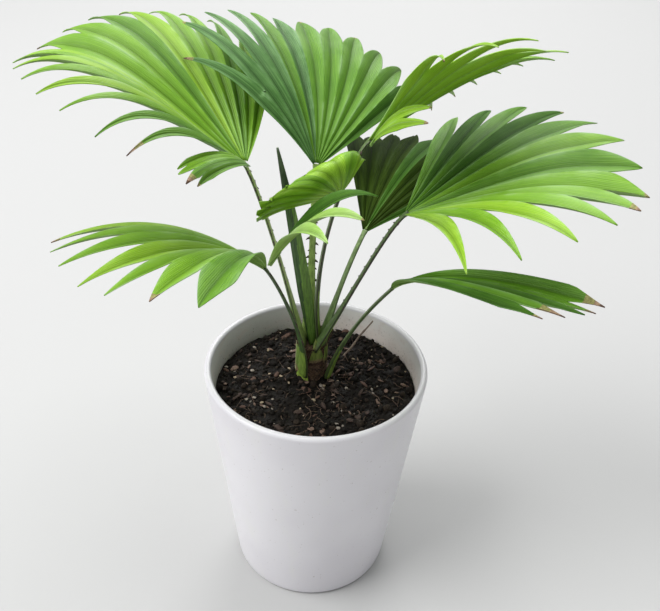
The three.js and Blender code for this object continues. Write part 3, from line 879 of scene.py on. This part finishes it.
def fan_axes(leaf):
    """The directions along a fan's middle, across it and out of its upper face."""
    h, r, q = (math.radians(leaf[name]) for name in ("heading", "rise", "roll"))
    along = np.array([math.cos(h) * math.cos(r), math.sin(h) * math.cos(r), math.sin(r)])
    flat = np.array([-math.cos(h) * math.sin(r), -math.sin(h) * math.sin(r), math.cos(r)])
    up = flat * math.cos(q) + np.cross(flat, along) * math.sin(q)
    return along, np.cross(up, along), up


def rib_start(leaf, axes, degrees):
    """The direction in which a rib leaves the fan's root."""
    along, across, up = axes
    angle, fold = math.radians(degrees), math.radians(leaf["fold"])
    rise = abs(math.sin(angle)) * math.sin(fold)
    return along * math.cos(angle) + across * math.sin(angle) * math.cos(fold) + up * rise


def leaflets(leaf):
    """The angle and the length share of each leaflet, by growing angle."""
    shares = leaf.get("share", [1] * leaf["count"])
    listed = [(leaf["first"] + leaf["step"] * i, shares[i]) for i in range(leaf["count"])]
    return listed if leaf["step"] > 0 else listed[::-1]


def fan_lead(leaf):
    axes = fan_axes(leaf)
    return unit(sum(rib_start(leaf, axes, angle) for angle, _ in leaflets(leaf)))


def stalk_foot(leaf):
    """Where the stalk starts: on the stem's flat top, or on its side at the leaf's level."""
    away, height = STALK_RING, STEM_TOP + GAP
    if "level" in leaf:
        height = leaf["level"]
        away = stem_radius(height) + GAP + STALK_FOOT[1]
    return np.array(stem_spot(math.radians(leaf["foot"]), away, height))


def stalk_line(leaf):
    """The stalk's middle line and its wide direction."""
    foot, at, lead = stalk_foot(leaf), np.array(leaf["at"], float), fan_lead(leaf)
    reach = at - foot
    leave = np.array(leaf["bow"]) + 0.4 * reach
    foot[2] += STALK_FOOT[1] * math.hypot(leave[0], leave[1]) / np.linalg.norm(leave)
    guides = [foot, foot + leave, at - 14 * lead, at + (FAN_ROOT - 0.8) * lead]
    t = np.linspace(0, 1, STALK_RINGS + 1)[:, None]
    weights = [(1 - t) ** 3, 3 * t * (1 - t) ** 2, 3 * t * t * (1 - t), t**3]
    line = sum(weight * guide for weight, guide in zip(weights, guides))
    return line, unit([-reach[1], reach[0], 0])


def stalk_section(wide, deep, channel):
    """Rounded beneath, nearly flat above with a shallow channel, and keen at both edges."""
    ring = []
    for side in range(STALK_SIDES):
        turn = 2 * math.pi * side / STALK_SIDES
        x, y = math.cos(turn), math.sin(turn)
        if y > 0:
            y = 0.55 * y - channel * (1 - abs(x)) ** 0.8
        ring.append((wide * x, deep * y))
    return ring


def green_material(name, colour, roughness=0.4, shift=1.35):
    """Waxy green skin with fine streaks along the stalk."""
    material = bare_material(name)
    tree = material.node_tree
    streaks = clouds(tree, place_in(tree, (1, 1, 0.16)), 620, 4, 0.6)
    blush = clouds(tree, place_in(tree), 45, 2)
    lighter = tuple(min(1, shift * part) for part in colour[:3]) + (1,)
    darker = tuple(0.72 * part for part in colour[:3]) + (1,)
    shade = tint(tree, step_up(tree, streaks, 0.35, 0.68), darker, lighter)
    finish(
        material,
        {
            "Base Color": tint(tree, step_up(tree, blush, 0.4, 0.7) * 0.4, shade, colour),
            "Roughness": roughness + streaks * 0.12,
        },
        streaks,
        0.00018,
    )
    return material


def stalk_half_sizes(t, on_side):
    """Half width and half depth. The foot clasps the stem, and the neck thickens to the fan."""
    clasp = max(0, 1 - t / STALK_CLASP) ** 1.5
    swell = 1 + (1.7 if on_side else 1.5) * clasp + 0.25 * max(0, (t - 0.93) / 0.07)
    wide, deep = (a + (b - a) * t for a, b in zip(STALK_FOOT, STALK_NECK))
    return wide * swell, deep * (1 + 0.4 * (swell - 1))


def add_spine(heap, base, outward, lead, length, broad):
    """One hooked spine. Its first ring of faces has the colour of the stalk's edge."""
    hook, thick = [], []
    for bit in range(6):
        share = bit / 5
        back = length * (0.25 * share + 0.35 * share**2)
        hook.append(base + outward * length * share - lead * back)
        thick.append(broad * (1 - share) ** 0.8 + 0.08)
    points, faces = limb(hook, lead, lambda i: oval(thick[i], 0.6 * thick[i], 6))
    heap.add(points, faces, [EDGE if n < 6 else HORN for n in range(len(faces))])


spine_horn = wood_material("spine_horn", SPINE_HORN, 0.55)
stalk_foot_skin = green_material("stalk_foot", STALK_FOOT_GREEN)
for name, greens in STALK_GREENS.items():
    leaf = LEAVES[name]
    on_side = "level" in leaf
    line, across = stalk_line(leaf)
    leads = unit(np.gradient(line, axis=0))

    def ring_of_stalk(i):
        channel = STALK_CHANNEL if 3 < i < STALK_RINGS - 4 else 0
        return stalk_section(*stalk_half_sizes(i / STALK_RINGS, on_side), channel)

    edges = {0, STALK_SIDES // 2 - 1, STALK_SIDES // 2, STALK_SIDES - 1}
    paint = []
    for n in range(STALK_RINGS * STALK_SIDES):
        ring, side = divmod(n, STALK_SIDES)
        rind = CLASPING if ring < 0.5 * STALK_CLASP * STALK_RINGS else BACK
        paint.append(EDGE if side in edges else FACE if side < STALK_SIDES // 2 else rind)
    paint += [BACK] * (2 * STALK_SIDES)
    stalk_heap = Heap()
    stalk_heap.add(*limb(line, across, ring_of_stalk), paint)
    rng = random.Random(leaf["foot"])
    for number in range(2 * leaf["spines"] - 1 if leaf["spines"] else 0):
        large = number % 2 == 0
        t = 0.3 + 0.58 * number / (2 * leaf["spines"] - 2)
        for side in (-1, 1):
            spot = int(round((t + 0.01 * side) * STALK_RINGS))
            lead = leads[spot]
            outward = unit(across - lead * np.dot(across, lead)) * side
            length = SPINE_LENGTH * (rng.uniform(0.75, 1.0) if large else rng.uniform(0.3, 0.55))
            base = line[spot] + outward * (stalk_half_sizes(t, on_side)[0] - 0.5)
            base = base + lead * rng.uniform(-0.8, 0.8)
            add_spine(stalk_heap, base, outward, lead, length, 1.2 if large else 0.95)
    skins = []
    for part, colour in zip(("back", "face", "edge"), greens):
        skins.append(green_material(f"stalk_{name}_{part}", colour))
    stalk = stalk_heap.piece(f"leaf_stalk_{name}", skins + [spine_horn, stalk_foot_skin])
    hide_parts(f"stalk_{name}")

# The sheaths: the broad feet of the leaves, which wrap the trunk's side as thin tapering
# scales, green above and dry and pale at their torn lower edge.
SHEATHS = [
    # azimuth, top and foot heights, half width at the top and foot in degrees, tone
    (196, 217, 193, 20, 34, 0),
    (118, 217, 200, 22, 36, 1),
    (50, 217, 201, 22, 34, 1),
    (350, 216, 203, 18, 30, 2),
    (292, 217, 206, 20, 34, 2),
    (232, 208, 184, 14, 32, 3),
    (168, 208, 184, 9, 14, 4),
]
SHEATH_TONES = [
    (0.15, 0.24, 0.05, 1),
    (0.13, 0.20, 0.05, 1),
    (0.17, 0.22, 0.045, 1),
    (0.25, 0.38, 0.05, 1),
    (0.50, 0.52, 0.28, 1),
]
SHEATH_EDGE = (0.34, 0.24, 0.13, 1)
DRY_EDGE = len(SHEATH_TONES)
SHEATH_ROWS = 16
SHEATH_COLUMNS = 18
SHEATH_PEAK = 9
sheath_heap = Heap()
for number, (azimuth, high, low, wide_top, wide_foot, tone) in enumerate(SHEATHS):
    grid = []
    for skin in (0, 1):
        for row in range(SHEATH_ROWS + 1):
            share = row / SHEATH_ROWS
            for column in range(SHEATH_COLUMNS + 1):
                c = 2 * column / SHEATH_COLUMNS - 1
                torn = 1.8 * noise.noise(Vector((c * 3, number * 5, 0.2))) * (1 - share)
                peak = high + SHEATH_PEAK * (1 - abs(c) ** 1.6)
                height = low + torn + (peak - low) * share
                half = math.radians(wide_foot + (wide_top - wide_foot) * share)
                turn = math.radians(azimuth) + c * half
                swell = 1.3 * (1 - c * c) * (0.5 + share) + 0.25 * math.sin(9 * c + number)
                away = collar_radius(min(height, STEM_TOP)) + 0.35 + swell - 0.55 * skin
                away -= 3.2 * max(0, (height - STEM_TOP) / 6) ** 1.2
                grid.append(stem_spot(turn, away, height))
    layer = (SHEATH_ROWS + 1) * (SHEATH_COLUMNS + 1)
    across_count = SHEATH_COLUMNS + 1
    sheath_faces, sheath_paint = [], []
    for row in range(SHEATH_ROWS):
        for column in range(SHEATH_COLUMNS):
            a = row * across_count + column
            b = a + 1
            c, d = b + across_count, a + across_count
            sheath_faces.append((a, b, c, d))
            sheath_faces.append((a + layer, d + layer, c + layer, b + layer))
            dry = row < 2 + (column + number) % 2
            sheath_paint += [DRY_EDGE if dry else tone, DRY_EDGE]
    rim = [row * across_count for row in range(SHEATH_ROWS + 1)]
    for a, b in zip(rim, rim[1:]):
        sheath_faces.append((a, b, b + layer, a + layer))
        a, b = a + SHEATH_COLUMNS, b + SHEATH_COLUMNS
        sheath_faces.append((b, a, a + layer, b + layer))
        sheath_paint += [DRY_EDGE, DRY_EDGE]
    for column in range(SHEATH_COLUMNS):
        a, b = column, column + 1
        sheath_faces.append((b, a, a + layer, b + layer))
        a, b = a + SHEATH_ROWS * across_count, b + SHEATH_ROWS * across_count
        sheath_faces.append((a, b, b + layer, a + layer))
        sheath_paint += [DRY_EDGE, tone]
    sheath_heap.add(grid, sheath_faces, sheath_paint)
sheath_skins = []
for i, colour in enumerate(SHEATH_TONES):
    sheath_skins.append(green_material(f"sheath_{i}", colour, 0.45, 1.5))
sheath_skins.append(wood_material("sheath_edge", SHEATH_EDGE))
sheaths = sheath_heap.piece("leaf_sheaths", sheath_skins)

# The spear: the next leaf, still shut. Its leaflets stand pressed together like a closed hand
# fan, so its faces are grooved along their length.
SPEAR_TIP = (-31, 0, 390)
SPEAR_FOOT = (3, 2.2)
SPEAR_BELLY = (5.6, 2.4)
SPEAR_BOW = (3, 3, 0)
SPEAR_RINGS = 60
SPEAR_SIDES = 44
SPEAR_FOLDS = 4
SPEAR_GREENS = [(0.12, 0.235, 0.032, 1), (0.045, 0.10, 0.022, 1), (0.075, 0.10, 0.065, 1)]
SPEAR_LIGHT, SPEAR_DARK, SPEAR_GREY = range(3)
foot = np.array([*STEM_PLACE, STEM_TOP + 2 * GAP])
tip = np.array(SPEAR_TIP, float)
middle = (foot + tip) / 2 + SPEAR_BOW
t = np.linspace(0, 1, SPEAR_RINGS + 1)[:, None]
spear_line = (1 - t) ** 2 * foot + 2 * t * (1 - t) * middle + t * t * tip


def spear_section(i):
    t = i / SPEAR_RINGS
    swell = math.sin(math.pi * min(1, 0.35 + t * 0.62)) ** 0.8 if t >= 0.3 else 1
    belly = min(1, t / 0.3)
    grown = [(a + (b - a) * belly) * swell for a, b in zip(SPEAR_FOOT, SPEAR_BELLY)]
    wide, deep = (max(0.35, half) for half in grown)
    ring = []
    for side in range(SPEAR_SIDES):
        turn = 2 * math.pi * side / SPEAR_SIDES
        x, y = math.cos(turn), math.sin(turn)
        fold = abs(((x + 1) * SPEAR_FOLDS) % 2 - 1)
        groove = 0.42 * (1 - fold) * min(1, t / 0.12) * min(1, (1 - t) / 0.1)
        ring.append((wide * x, deep * y * (1 - groove)))
    return ring


paint = []
for n in range(SPEAR_RINGS * SPEAR_SIDES):
    ring, side = divmod(n, SPEAR_SIDES)
    dark = math.cos(2 * math.pi * side / SPEAR_SIDES) < 1.4 * ring / SPEAR_RINGS - 0.75
    lower = SPEAR_DARK if dark else SPEAR_LIGHT
    paint.append(SPEAR_GREY if ring > 0.72 * SPEAR_RINGS else lower)
paint += [SPEAR_LIGHT] * SPEAR_SIDES + [SPEAR_GREY] * SPEAR_SIDES
spear_heap = Heap()
spear_heap.add(*limb(spear_line, (1, 0, 0), spear_section), paint)
spear_skins = [green_material(f"spear_{i}", colour, 0.42) for i, colour in enumerate(SPEAR_GREENS)]
spear = spear_heap.piece("shut_leaf", spear_skins)
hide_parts("spear")

# The fans: thin leathery blades, pleated from the root so that each leaflet is a shallow
# trough with its midrib at the bottom. They part into free leaflets towards the rim, some with
# dry brown tips.
BLADE = 0.55
PLEAT_ROOT = 0.34
PLEAT_RIM = 0.20
COLUMNS = (-1, -0.93, -0.66, -0.36, -0.07, 0, 0.07, 0.36, 0.66, 0.93, 1)
MIDRIB_COLUMNS = (4, 5)
ROW_PITCH = 3.4
SEED_SPREAD = 900
POINT = 1.15
NOTCH = 2.6
LEAFLET_CROWN = 0.022
CUT_REACH = 80
VEIN_PITCH = 1.15
LEAF_TONES = {
    # the deeper and the lighter colour of each tone, and how glossy it is, which also scales the
    # painted sheen on its ridges. The tones are lit and shaded copies of one leaf green: 'sunny' is
    # painted light, 'shade' is painted shade for leaflets under other fans, and 'deep' is partly the
    # leaves' own darker green and partly painted shade.
    "sunny": ((0.24, 0.46, 0.020, 1), (0.35, 0.60, 0.045, 1), 1),
    "fresh": ((0.165, 0.37, 0.014, 1), (0.25, 0.49, 0.030, 1), 1),
    "full": ((0.095, 0.25, 0.012, 1), (0.165, 0.36, 0.026, 1), 0.8),
    "deep": ((0.042, 0.125, 0.009, 1), (0.080, 0.20, 0.017, 1), 0.35),
    "shade": ((0.022, 0.047, 0.003, 1), (0.048, 0.088, 0.006, 1), 0.1),
    "blue": ((0.068, 0.185, 0.038, 1), (0.165, 0.35, 0.10, 1), 0.8),
    "pale": ((0.29, 0.50, 0.09, 1), (0.42, 0.63, 0.17, 1), 1),
    "under": ((0.15, 0.29, 0.045, 1), (0.22, 0.38, 0.08, 1), 0.4),
}
FAN_LOOKS = {
    # tones: each leaflet's tone by growing angle, with painted light and painted shade in it. under:
    # the tone of the fan's lower face.
    # blunt: its leaflets end in a short tip, and notch says how deep its notch is. dry: the
    # leaflets with a dry tip, and its rows. pleat: how deep its folds are beside the other
    # fans'. open: how far its free leaflets open.
    "upper_left": dict(
        tones="fresh fresh full fresh fresh sunny full fresh fresh "
        "sunny fresh sunny fresh sunny fresh full full",
        under="under", dry={16: 4, 8: 1, 5: 1}, open=0.35,
    ),
    "upper_left_near": dict(tones="fresh fresh full full", under="full", dry={2: 3, 3: 1}, pleat=0.5),
    "back": dict(
        tones="deep full full full full full blue full blue blue blue blue",
        under="under", dry={11: 3, 10: 1, 5: 1, 3: 1, 0: 1},
    ),
    # Painted light: both faces of this fan take the 'sunny' tone, so that it looks lit.
    "middle_far": dict(
        tones="sunny sunny sunny sunny sunny fresh sunny fresh sunny fresh fresh full",
        under="sunny", dry={0: 1, 10: 2, 11: 1},
    ),
    "middle_front": dict(tones="sunny full", under="sunny", dry={0: 1, 1: 2}),
    "middle_near": dict(
        tones="sunny fresh sunny sunny fresh sunny sunny sunny sunny", under="full", blunt=True,
        pleat=0.3, notch=0.5,
    ),
    # Painted shade: this fan lies under the fans in front of it, and its leaflets take the darkest
    # tones.
    "inner_right": dict(
        tones="deep shade shade shade deep shade shade shade shade", under="shade",
        blunt=True, dry={2: 3, 3: 2},
    ),
    # Painted light and shade: the low front leaflets take 'sunny', and the upper ones, which lie
    # under other fans, are darker.
    "right": dict(
        tones="sunny fresh sunny fresh fresh fresh full fresh full deep full deep full",
        under="under", dry={4: 2, 5: 1, 9: 1}, open=0.8,
    ),
    "lower_left": dict(
        tones="sunny fresh fresh sunny fresh fresh full", under="under",
        dry={0: 2, 5: 2}, open=0.4,
    ),
    "lower_left_near": dict(tones="pale pale deep", under="pale", dry={1: 1}, open=0.6),
    "low_right": dict(
        tones="deep full deep full full", under="under", dry={0: 2, 1: 5, 3: 2, 4: 4},
    ),
}
RIB_COLOUR = (0.24, 0.40, 0.09, 1)
# Painted highlight on the pleats' ridges: partly a waxy bloom and partly a painted sheen.
RIDGE_SHEEN = (0.50, 0.66, 0.48, 1)
DRY_COLOURS = [(0.42, 0.40, 0.13, 1), (0.47, 0.31, 0.19, 1), (0.15, 0.075, 0.04, 1)]


def leaf_material(name, deeper, lighter, gloss):
    """A leaf's skin. Its veins run along the leaflet. Its troughs are painted darker as painted
    shade, and its ridges are painted pale, partly a waxy bloom and partly a painted sheen.
    """
    material = bare_material(name)
    tree = material.node_tree
    blade = Wire.node(tree, "Attribute", {"attribute_name": "blade"}, None, "Vector")
    aside = Wire.node(tree, "SeparateXYZ", None, {0: blade}, 0)
    fold = Wire.node(tree, "SeparateXYZ", None, {0: blade}, 2)
    drawn = Wire.node(tree, "VectorMath", {"operation": "MULTIPLY"}, {0: blade, 1: (1.1, 0.035, 0)})
    streaks = clouds(tree, drawn, 1.0, 3, 0.6)
    patches = clouds(tree, place_in(tree), 38, 3)
    veins = Wire.node(tree, "Math", {"operation": "SINE"}, {0: aside * (2 * math.pi / VEIN_PITCH)})
    share = step_up(tree, streaks * 0.65 + patches * 0.35, 0.36, 0.64)
    darker = tuple(0.5 * part for part in deeper[:3]) + (1,)
    # Painted shade: the blade is painted darker towards its midrib, at the bottom of each pleat's
    # trough.
    colour = tint(tree, (1 - fold) ** 2 * 0.7, tint(tree, share, deeper, lighter), darker)
    colour = tint(tree, (veins * 0.5 + 0.5) ** 3 * 0.16, colour, darker)
    # Painted highlight: the ridges of the pleats are painted pale and bluish, partly a waxy bloom and
    # partly a painted sheen, more on glossy tones.
    bloom_and_sheen = fold ** 5 * step_up(tree, patches, 0.42, 0.62)
    return finish(
        material,
        {
            "Base Color": tint(tree, bloom_and_sheen * 0.3 * gloss, colour, RIDGE_SHEEN),
            "Roughness": 0.62 - 0.28 * gloss + streaks * 0.14,
            "Specular IOR Level": 0.06 + 0.24 * gloss,
            "Coat Weight": 0.07 * gloss,
            "Coat Roughness": 0.35,
        },
        veins * 0.35 + streaks * 1.2,
        0.00022,
    )


leaf_skins = {name: leaf_material(f"leaf_{name}", *tones) for name, tones in LEAF_TONES.items()}
rib_skin = green_material("leaf_midrib", RIB_COLOUR, 0.4, 1.2)
dry_skins = [wood_material(f"leaf_dry_{i}", colour, 0.75) for i, colour in enumerate(DRY_COLOURS)]
tone_names = list(LEAF_TONES)
RIB_PAINT = len(tone_names)
DRY_PAINT = RIB_PAINT + 1


def rib(leaf, axes, degrees, share):
    """The points of one rib from the blade's first row to its tip, in even steps."""
    length = leaf["length"] * share * (1 - leaf["side"] * (degrees / 150) ** 2)
    points = [np.array(leaf["at"], float)]
    for step in range(STEPS):
        t = (step + 0.5) / STEPS
        turned_in = degrees * (1 - leaf["sweep"] * t)
        direction = rib_start(leaf, axes, turned_in) - axes[2] * leaf["arch"] * t
        direction[2] -= leaf["sag"] * t * t
        points.append(points[-1] + unit(direction) * length / STEPS)
    reach = np.arange(STEPS + 1) * length / STEPS
    wanted = np.linspace(leaf.get("root", FAN_ROOT), length, STEPS)
    return np.column_stack([np.interp(wanted, reach, part) for part in np.array(points).T])


def cut_row(leaf, degrees, rng):
    """The row at which two neighbouring leaflets part."""
    below, middle, above = leaf["cut"]
    side = below if degrees < 0 else above
    cut = middle + (side - middle) * min(1, abs(degrees) / CUT_REACH) + rng.uniform(-0.02, 0.02)
    return min(STEPS - 3, int(round(cut * STEPS)) - 1)


def fan_heap(name, leaf):
    """A whole fan: a closed skin over its leaflets, joined up to their cuts, and the
    spur that runs from the stalk into it."""
    look = FAN_LOOKS[name]
    blunt, dry_rows = look.get("blunt", False), look.get("dry", {})
    tones = [tone_names.index(tone) for tone in look["tones"].split()]
    under = tone_names.index(look["under"])
    axes = fan_axes(leaf)
    rng = random.Random(leaf["count"] * 100 + leaf["foot"] if "foot" in leaf else leaf["count"])
    half = abs(leaf["step"]) / 2
    listed = leaflets(leaf)
    ribs = [rib(leaf, axes, angle, share) for angle, share in listed]
    edges, cuts = [], []
    for i in range(len(listed) + 1):
        angle = listed[i][0] - half if i < len(listed) else listed[-1][0] + half
        near = [share for _, share in listed[max(0, i - 1): i + 1]]
        edges.append(rib(leaf, axes, angle, sum(near) / len(near)))
        cuts.append(cut_row(leaf, angle, rng))
    last = STEPS - 1
    frames = []
    for i, middle in enumerate(ribs):
        along = unit(np.gradient(middle, axis=0))
        normal = unit(np.cross(along, edges[i + 1] - edges[i]))
        frames.append((along, normal))
    heap_points, heap_blade, faces, paint = [], [], [], []

    def vertex(spot, normal, aside, row, seed, fold):
        """A point on each face of the blade. Its veins read how far it is from the midrib."""
        heap_points.append(spot + normal * BLADE / 2)
        heap_points.append(spot - normal * BLADE / 2)
        heap_blade.extend([(aside, row * ROW_PITCH + seed * SEED_SPREAD, fold)] * 2)
        return len(heap_points) - 2

    seeds = [rng.random() for _ in listed]
    shared = []
    for i, edge in enumerate(edges):
        near = [n for n in (i - 1, i) if 0 <= n < len(ribs)]
        column = []
        for row in range(cuts[i] + 1):
            normal = unit(sum(frames[n][1][row] for n in near))
            width = np.linalg.norm(edge[row] - ribs[near[0]][row])
            column.append(vertex(edge[row], normal, width, row, seeds[near[0]], 1))
        shared.append(column)
    for i, middle in enumerate(ribs):
        middle = middle.copy()
        along, normal = frames[i]
        length = np.linalg.norm(np.diff(middle, axis=0), axis=1).sum()
        free = max(0, min(cuts[i], cuts[i + 1]))
        x = np.clip((np.arange(STEPS) - free) / (last - free), 0, 1)[:, None]
        sideways = unit(edges[i + 1][free] - edges[i][free])
        middle += sideways * rng.uniform(-0.012, 0.012) * length * x**2
        middle[:, 2] -= (rng.uniform(0.0, 0.012) * length * x**2)[:, 0]
        twist = rng.uniform(-0.5, 0.5)
        sides = []
        for side in (0, 1):
            cut = cuts[i + side]
            offsets = edges[i + side] - ribs[i]
            widths = np.linalg.norm(offsets, axis=1)
            for row in range(cut + 1, STEPS):
                share = (row - cut) / (last - cut)
                lead = unit(middle[min(row + 1, last)] - middle[row - 1])
                toward = unit(offsets[cut] - lead * np.dot(offsets[cut], lead))
                up = normal[row] - lead * np.dot(normal[row], lead)
                angle = twist * share**2 * (1 if side else -1)
                toward = toward * math.cos(angle) + unit(up) * math.sin(angle)
                if blunt:
                    width = widths[cut] * (1 - 0.8 * share**1.15) * (1 if share < 0.97 else 0.8)
                else:
                    opened = 1 + look.get("open", 0) * (1 - cut / last) * 4 * share * (1 - share)
                    width = widths[cut] * opened * (1 - share) ** leaf.get("point", POINT) + 0.3
                offsets[row] = toward * width
            sides.append(offsets)
        dry_from = last - dry_rows.get(i, -1)
        grid = []
        for row in range(STEPS):
            width = np.linalg.norm(sides[0][row]) + np.linalg.norm(sides[1][row])
            pleat = PLEAT_ROOT + (PLEAT_RIM - PLEAT_ROOT) * min(1, row / (0.6 * STEPS))
            pleat *= look.get("pleat", 1)
            lead = unit(middle[min(row + 1, last)] - middle[max(row - 1, 0)])
            up = unit(np.cross(lead, sides[1][row] - sides[0][row]))
            notch = look.get("notch", NOTCH) * max(0, (row - last + 5) / 5) if blunt else 0
            line = []
            for c in COLUMNS:
                side = 1 if c > 0 else 0
                if abs(c) == 1 and row <= cuts[i + side]:
                    line.append(shared[i + side][row])
                    continue
                base = middle[row] if row > free else ribs[i][row]
                spot = base + sides[side][row] * abs(c)
                trough = pleat * (1 - abs(c)) - LEAFLET_CROWN * math.sin(math.pi * abs(c))
                spot = spot - up * width * trough - lead * notch * (1 - abs(c))
                aside = abs(c) * np.linalg.norm(sides[side][row])
                line.append(vertex(spot, up, aside, row, seeds[i], abs(c)))
            grid.append(line)
        columns = len(COLUMNS) - 1
        for row in range(last):
            for c in range(columns):
                a, b, d, e = grid[row][c], grid[row][c + 1], grid[row + 1][c + 1], grid[row + 1][c]
                faces.append((a, b, d, e))
                faces.append((a + 1, e + 1, d + 1, b + 1))
                if row >= dry_from:
                    dryness = min(2, (row - dry_from) * 3 // max(1, last - dry_from))
                    paint.extend([DRY_PAINT + dryness] * 2)
                else:
                    paint.extend([tones[i], RIB_PAINT if c in MIDRIB_COLUMNS else under])
            if i == 0 or row >= cuts[i]:
                a, e = grid[row][0], grid[row + 1][0]
                faces.append((a, e, e + 1, a + 1))
                paint.append(tones[i] if row < dry_from else DRY_PAINT + 2)
            if i == len(ribs) - 1 or row >= cuts[i + 1]:
                a, e = grid[row][-1], grid[row + 1][-1]
                faces.append((e, a, a + 1, e + 1))
                paint.append(tones[i] if row < dry_from else DRY_PAINT + 2)
        for c in range(columns):
            a, b = grid[0][c], grid[0][c + 1]
            faces.append((b, a, a + 1, b + 1))
            a, b = grid[last][c], grid[last][c + 1]
            faces.append((a, b, b + 1, a + 1))
            paint.extend([tones[i], DRY_PAINT + 2 if i in dry_rows else tones[i]])
    heap = Heap()
    heap.add([spot.tolist() for spot in heap_points], faces, paint, heap_blade)
    centre = ribs[len(ribs) // 2]
    below = frames[len(ribs) // 2][1]
    width = [np.linalg.norm(edges[1][row] - edges[0][row]) for row in range(9)]
    spur = [centre[row] - below[row] * (width[row] * PLEAT_ROOT + 0.4) for row in range(9)]
    thins = [1 - row / 9 for row in range(9)]
    wide = edges[-1][2] - edges[0][2]
    points, faces = limb(spur, wide, lambda i: oval(1.5 * thins[i], 1.1 * thins[i], 8))
    heap.add(points, faces, RIB_PAINT, [(0, 0, 0)] * len(points))
    return heap


fan_skins = list(leaf_skins.values()) + [rib_skin] + dry_skins
for name, leaf in LEAVES.items():
    fan = fan_heap(name, leaf).piece(f"leaf_fan_{name}", fan_skins)
    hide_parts(f"fan_{name}")

bpy.context.view_layer.update()
visual_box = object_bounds()
sizes = {
    "cad": [list(corner) for corner in cad_box],
    "visual": [list(corner) for corner in visual_box],
}
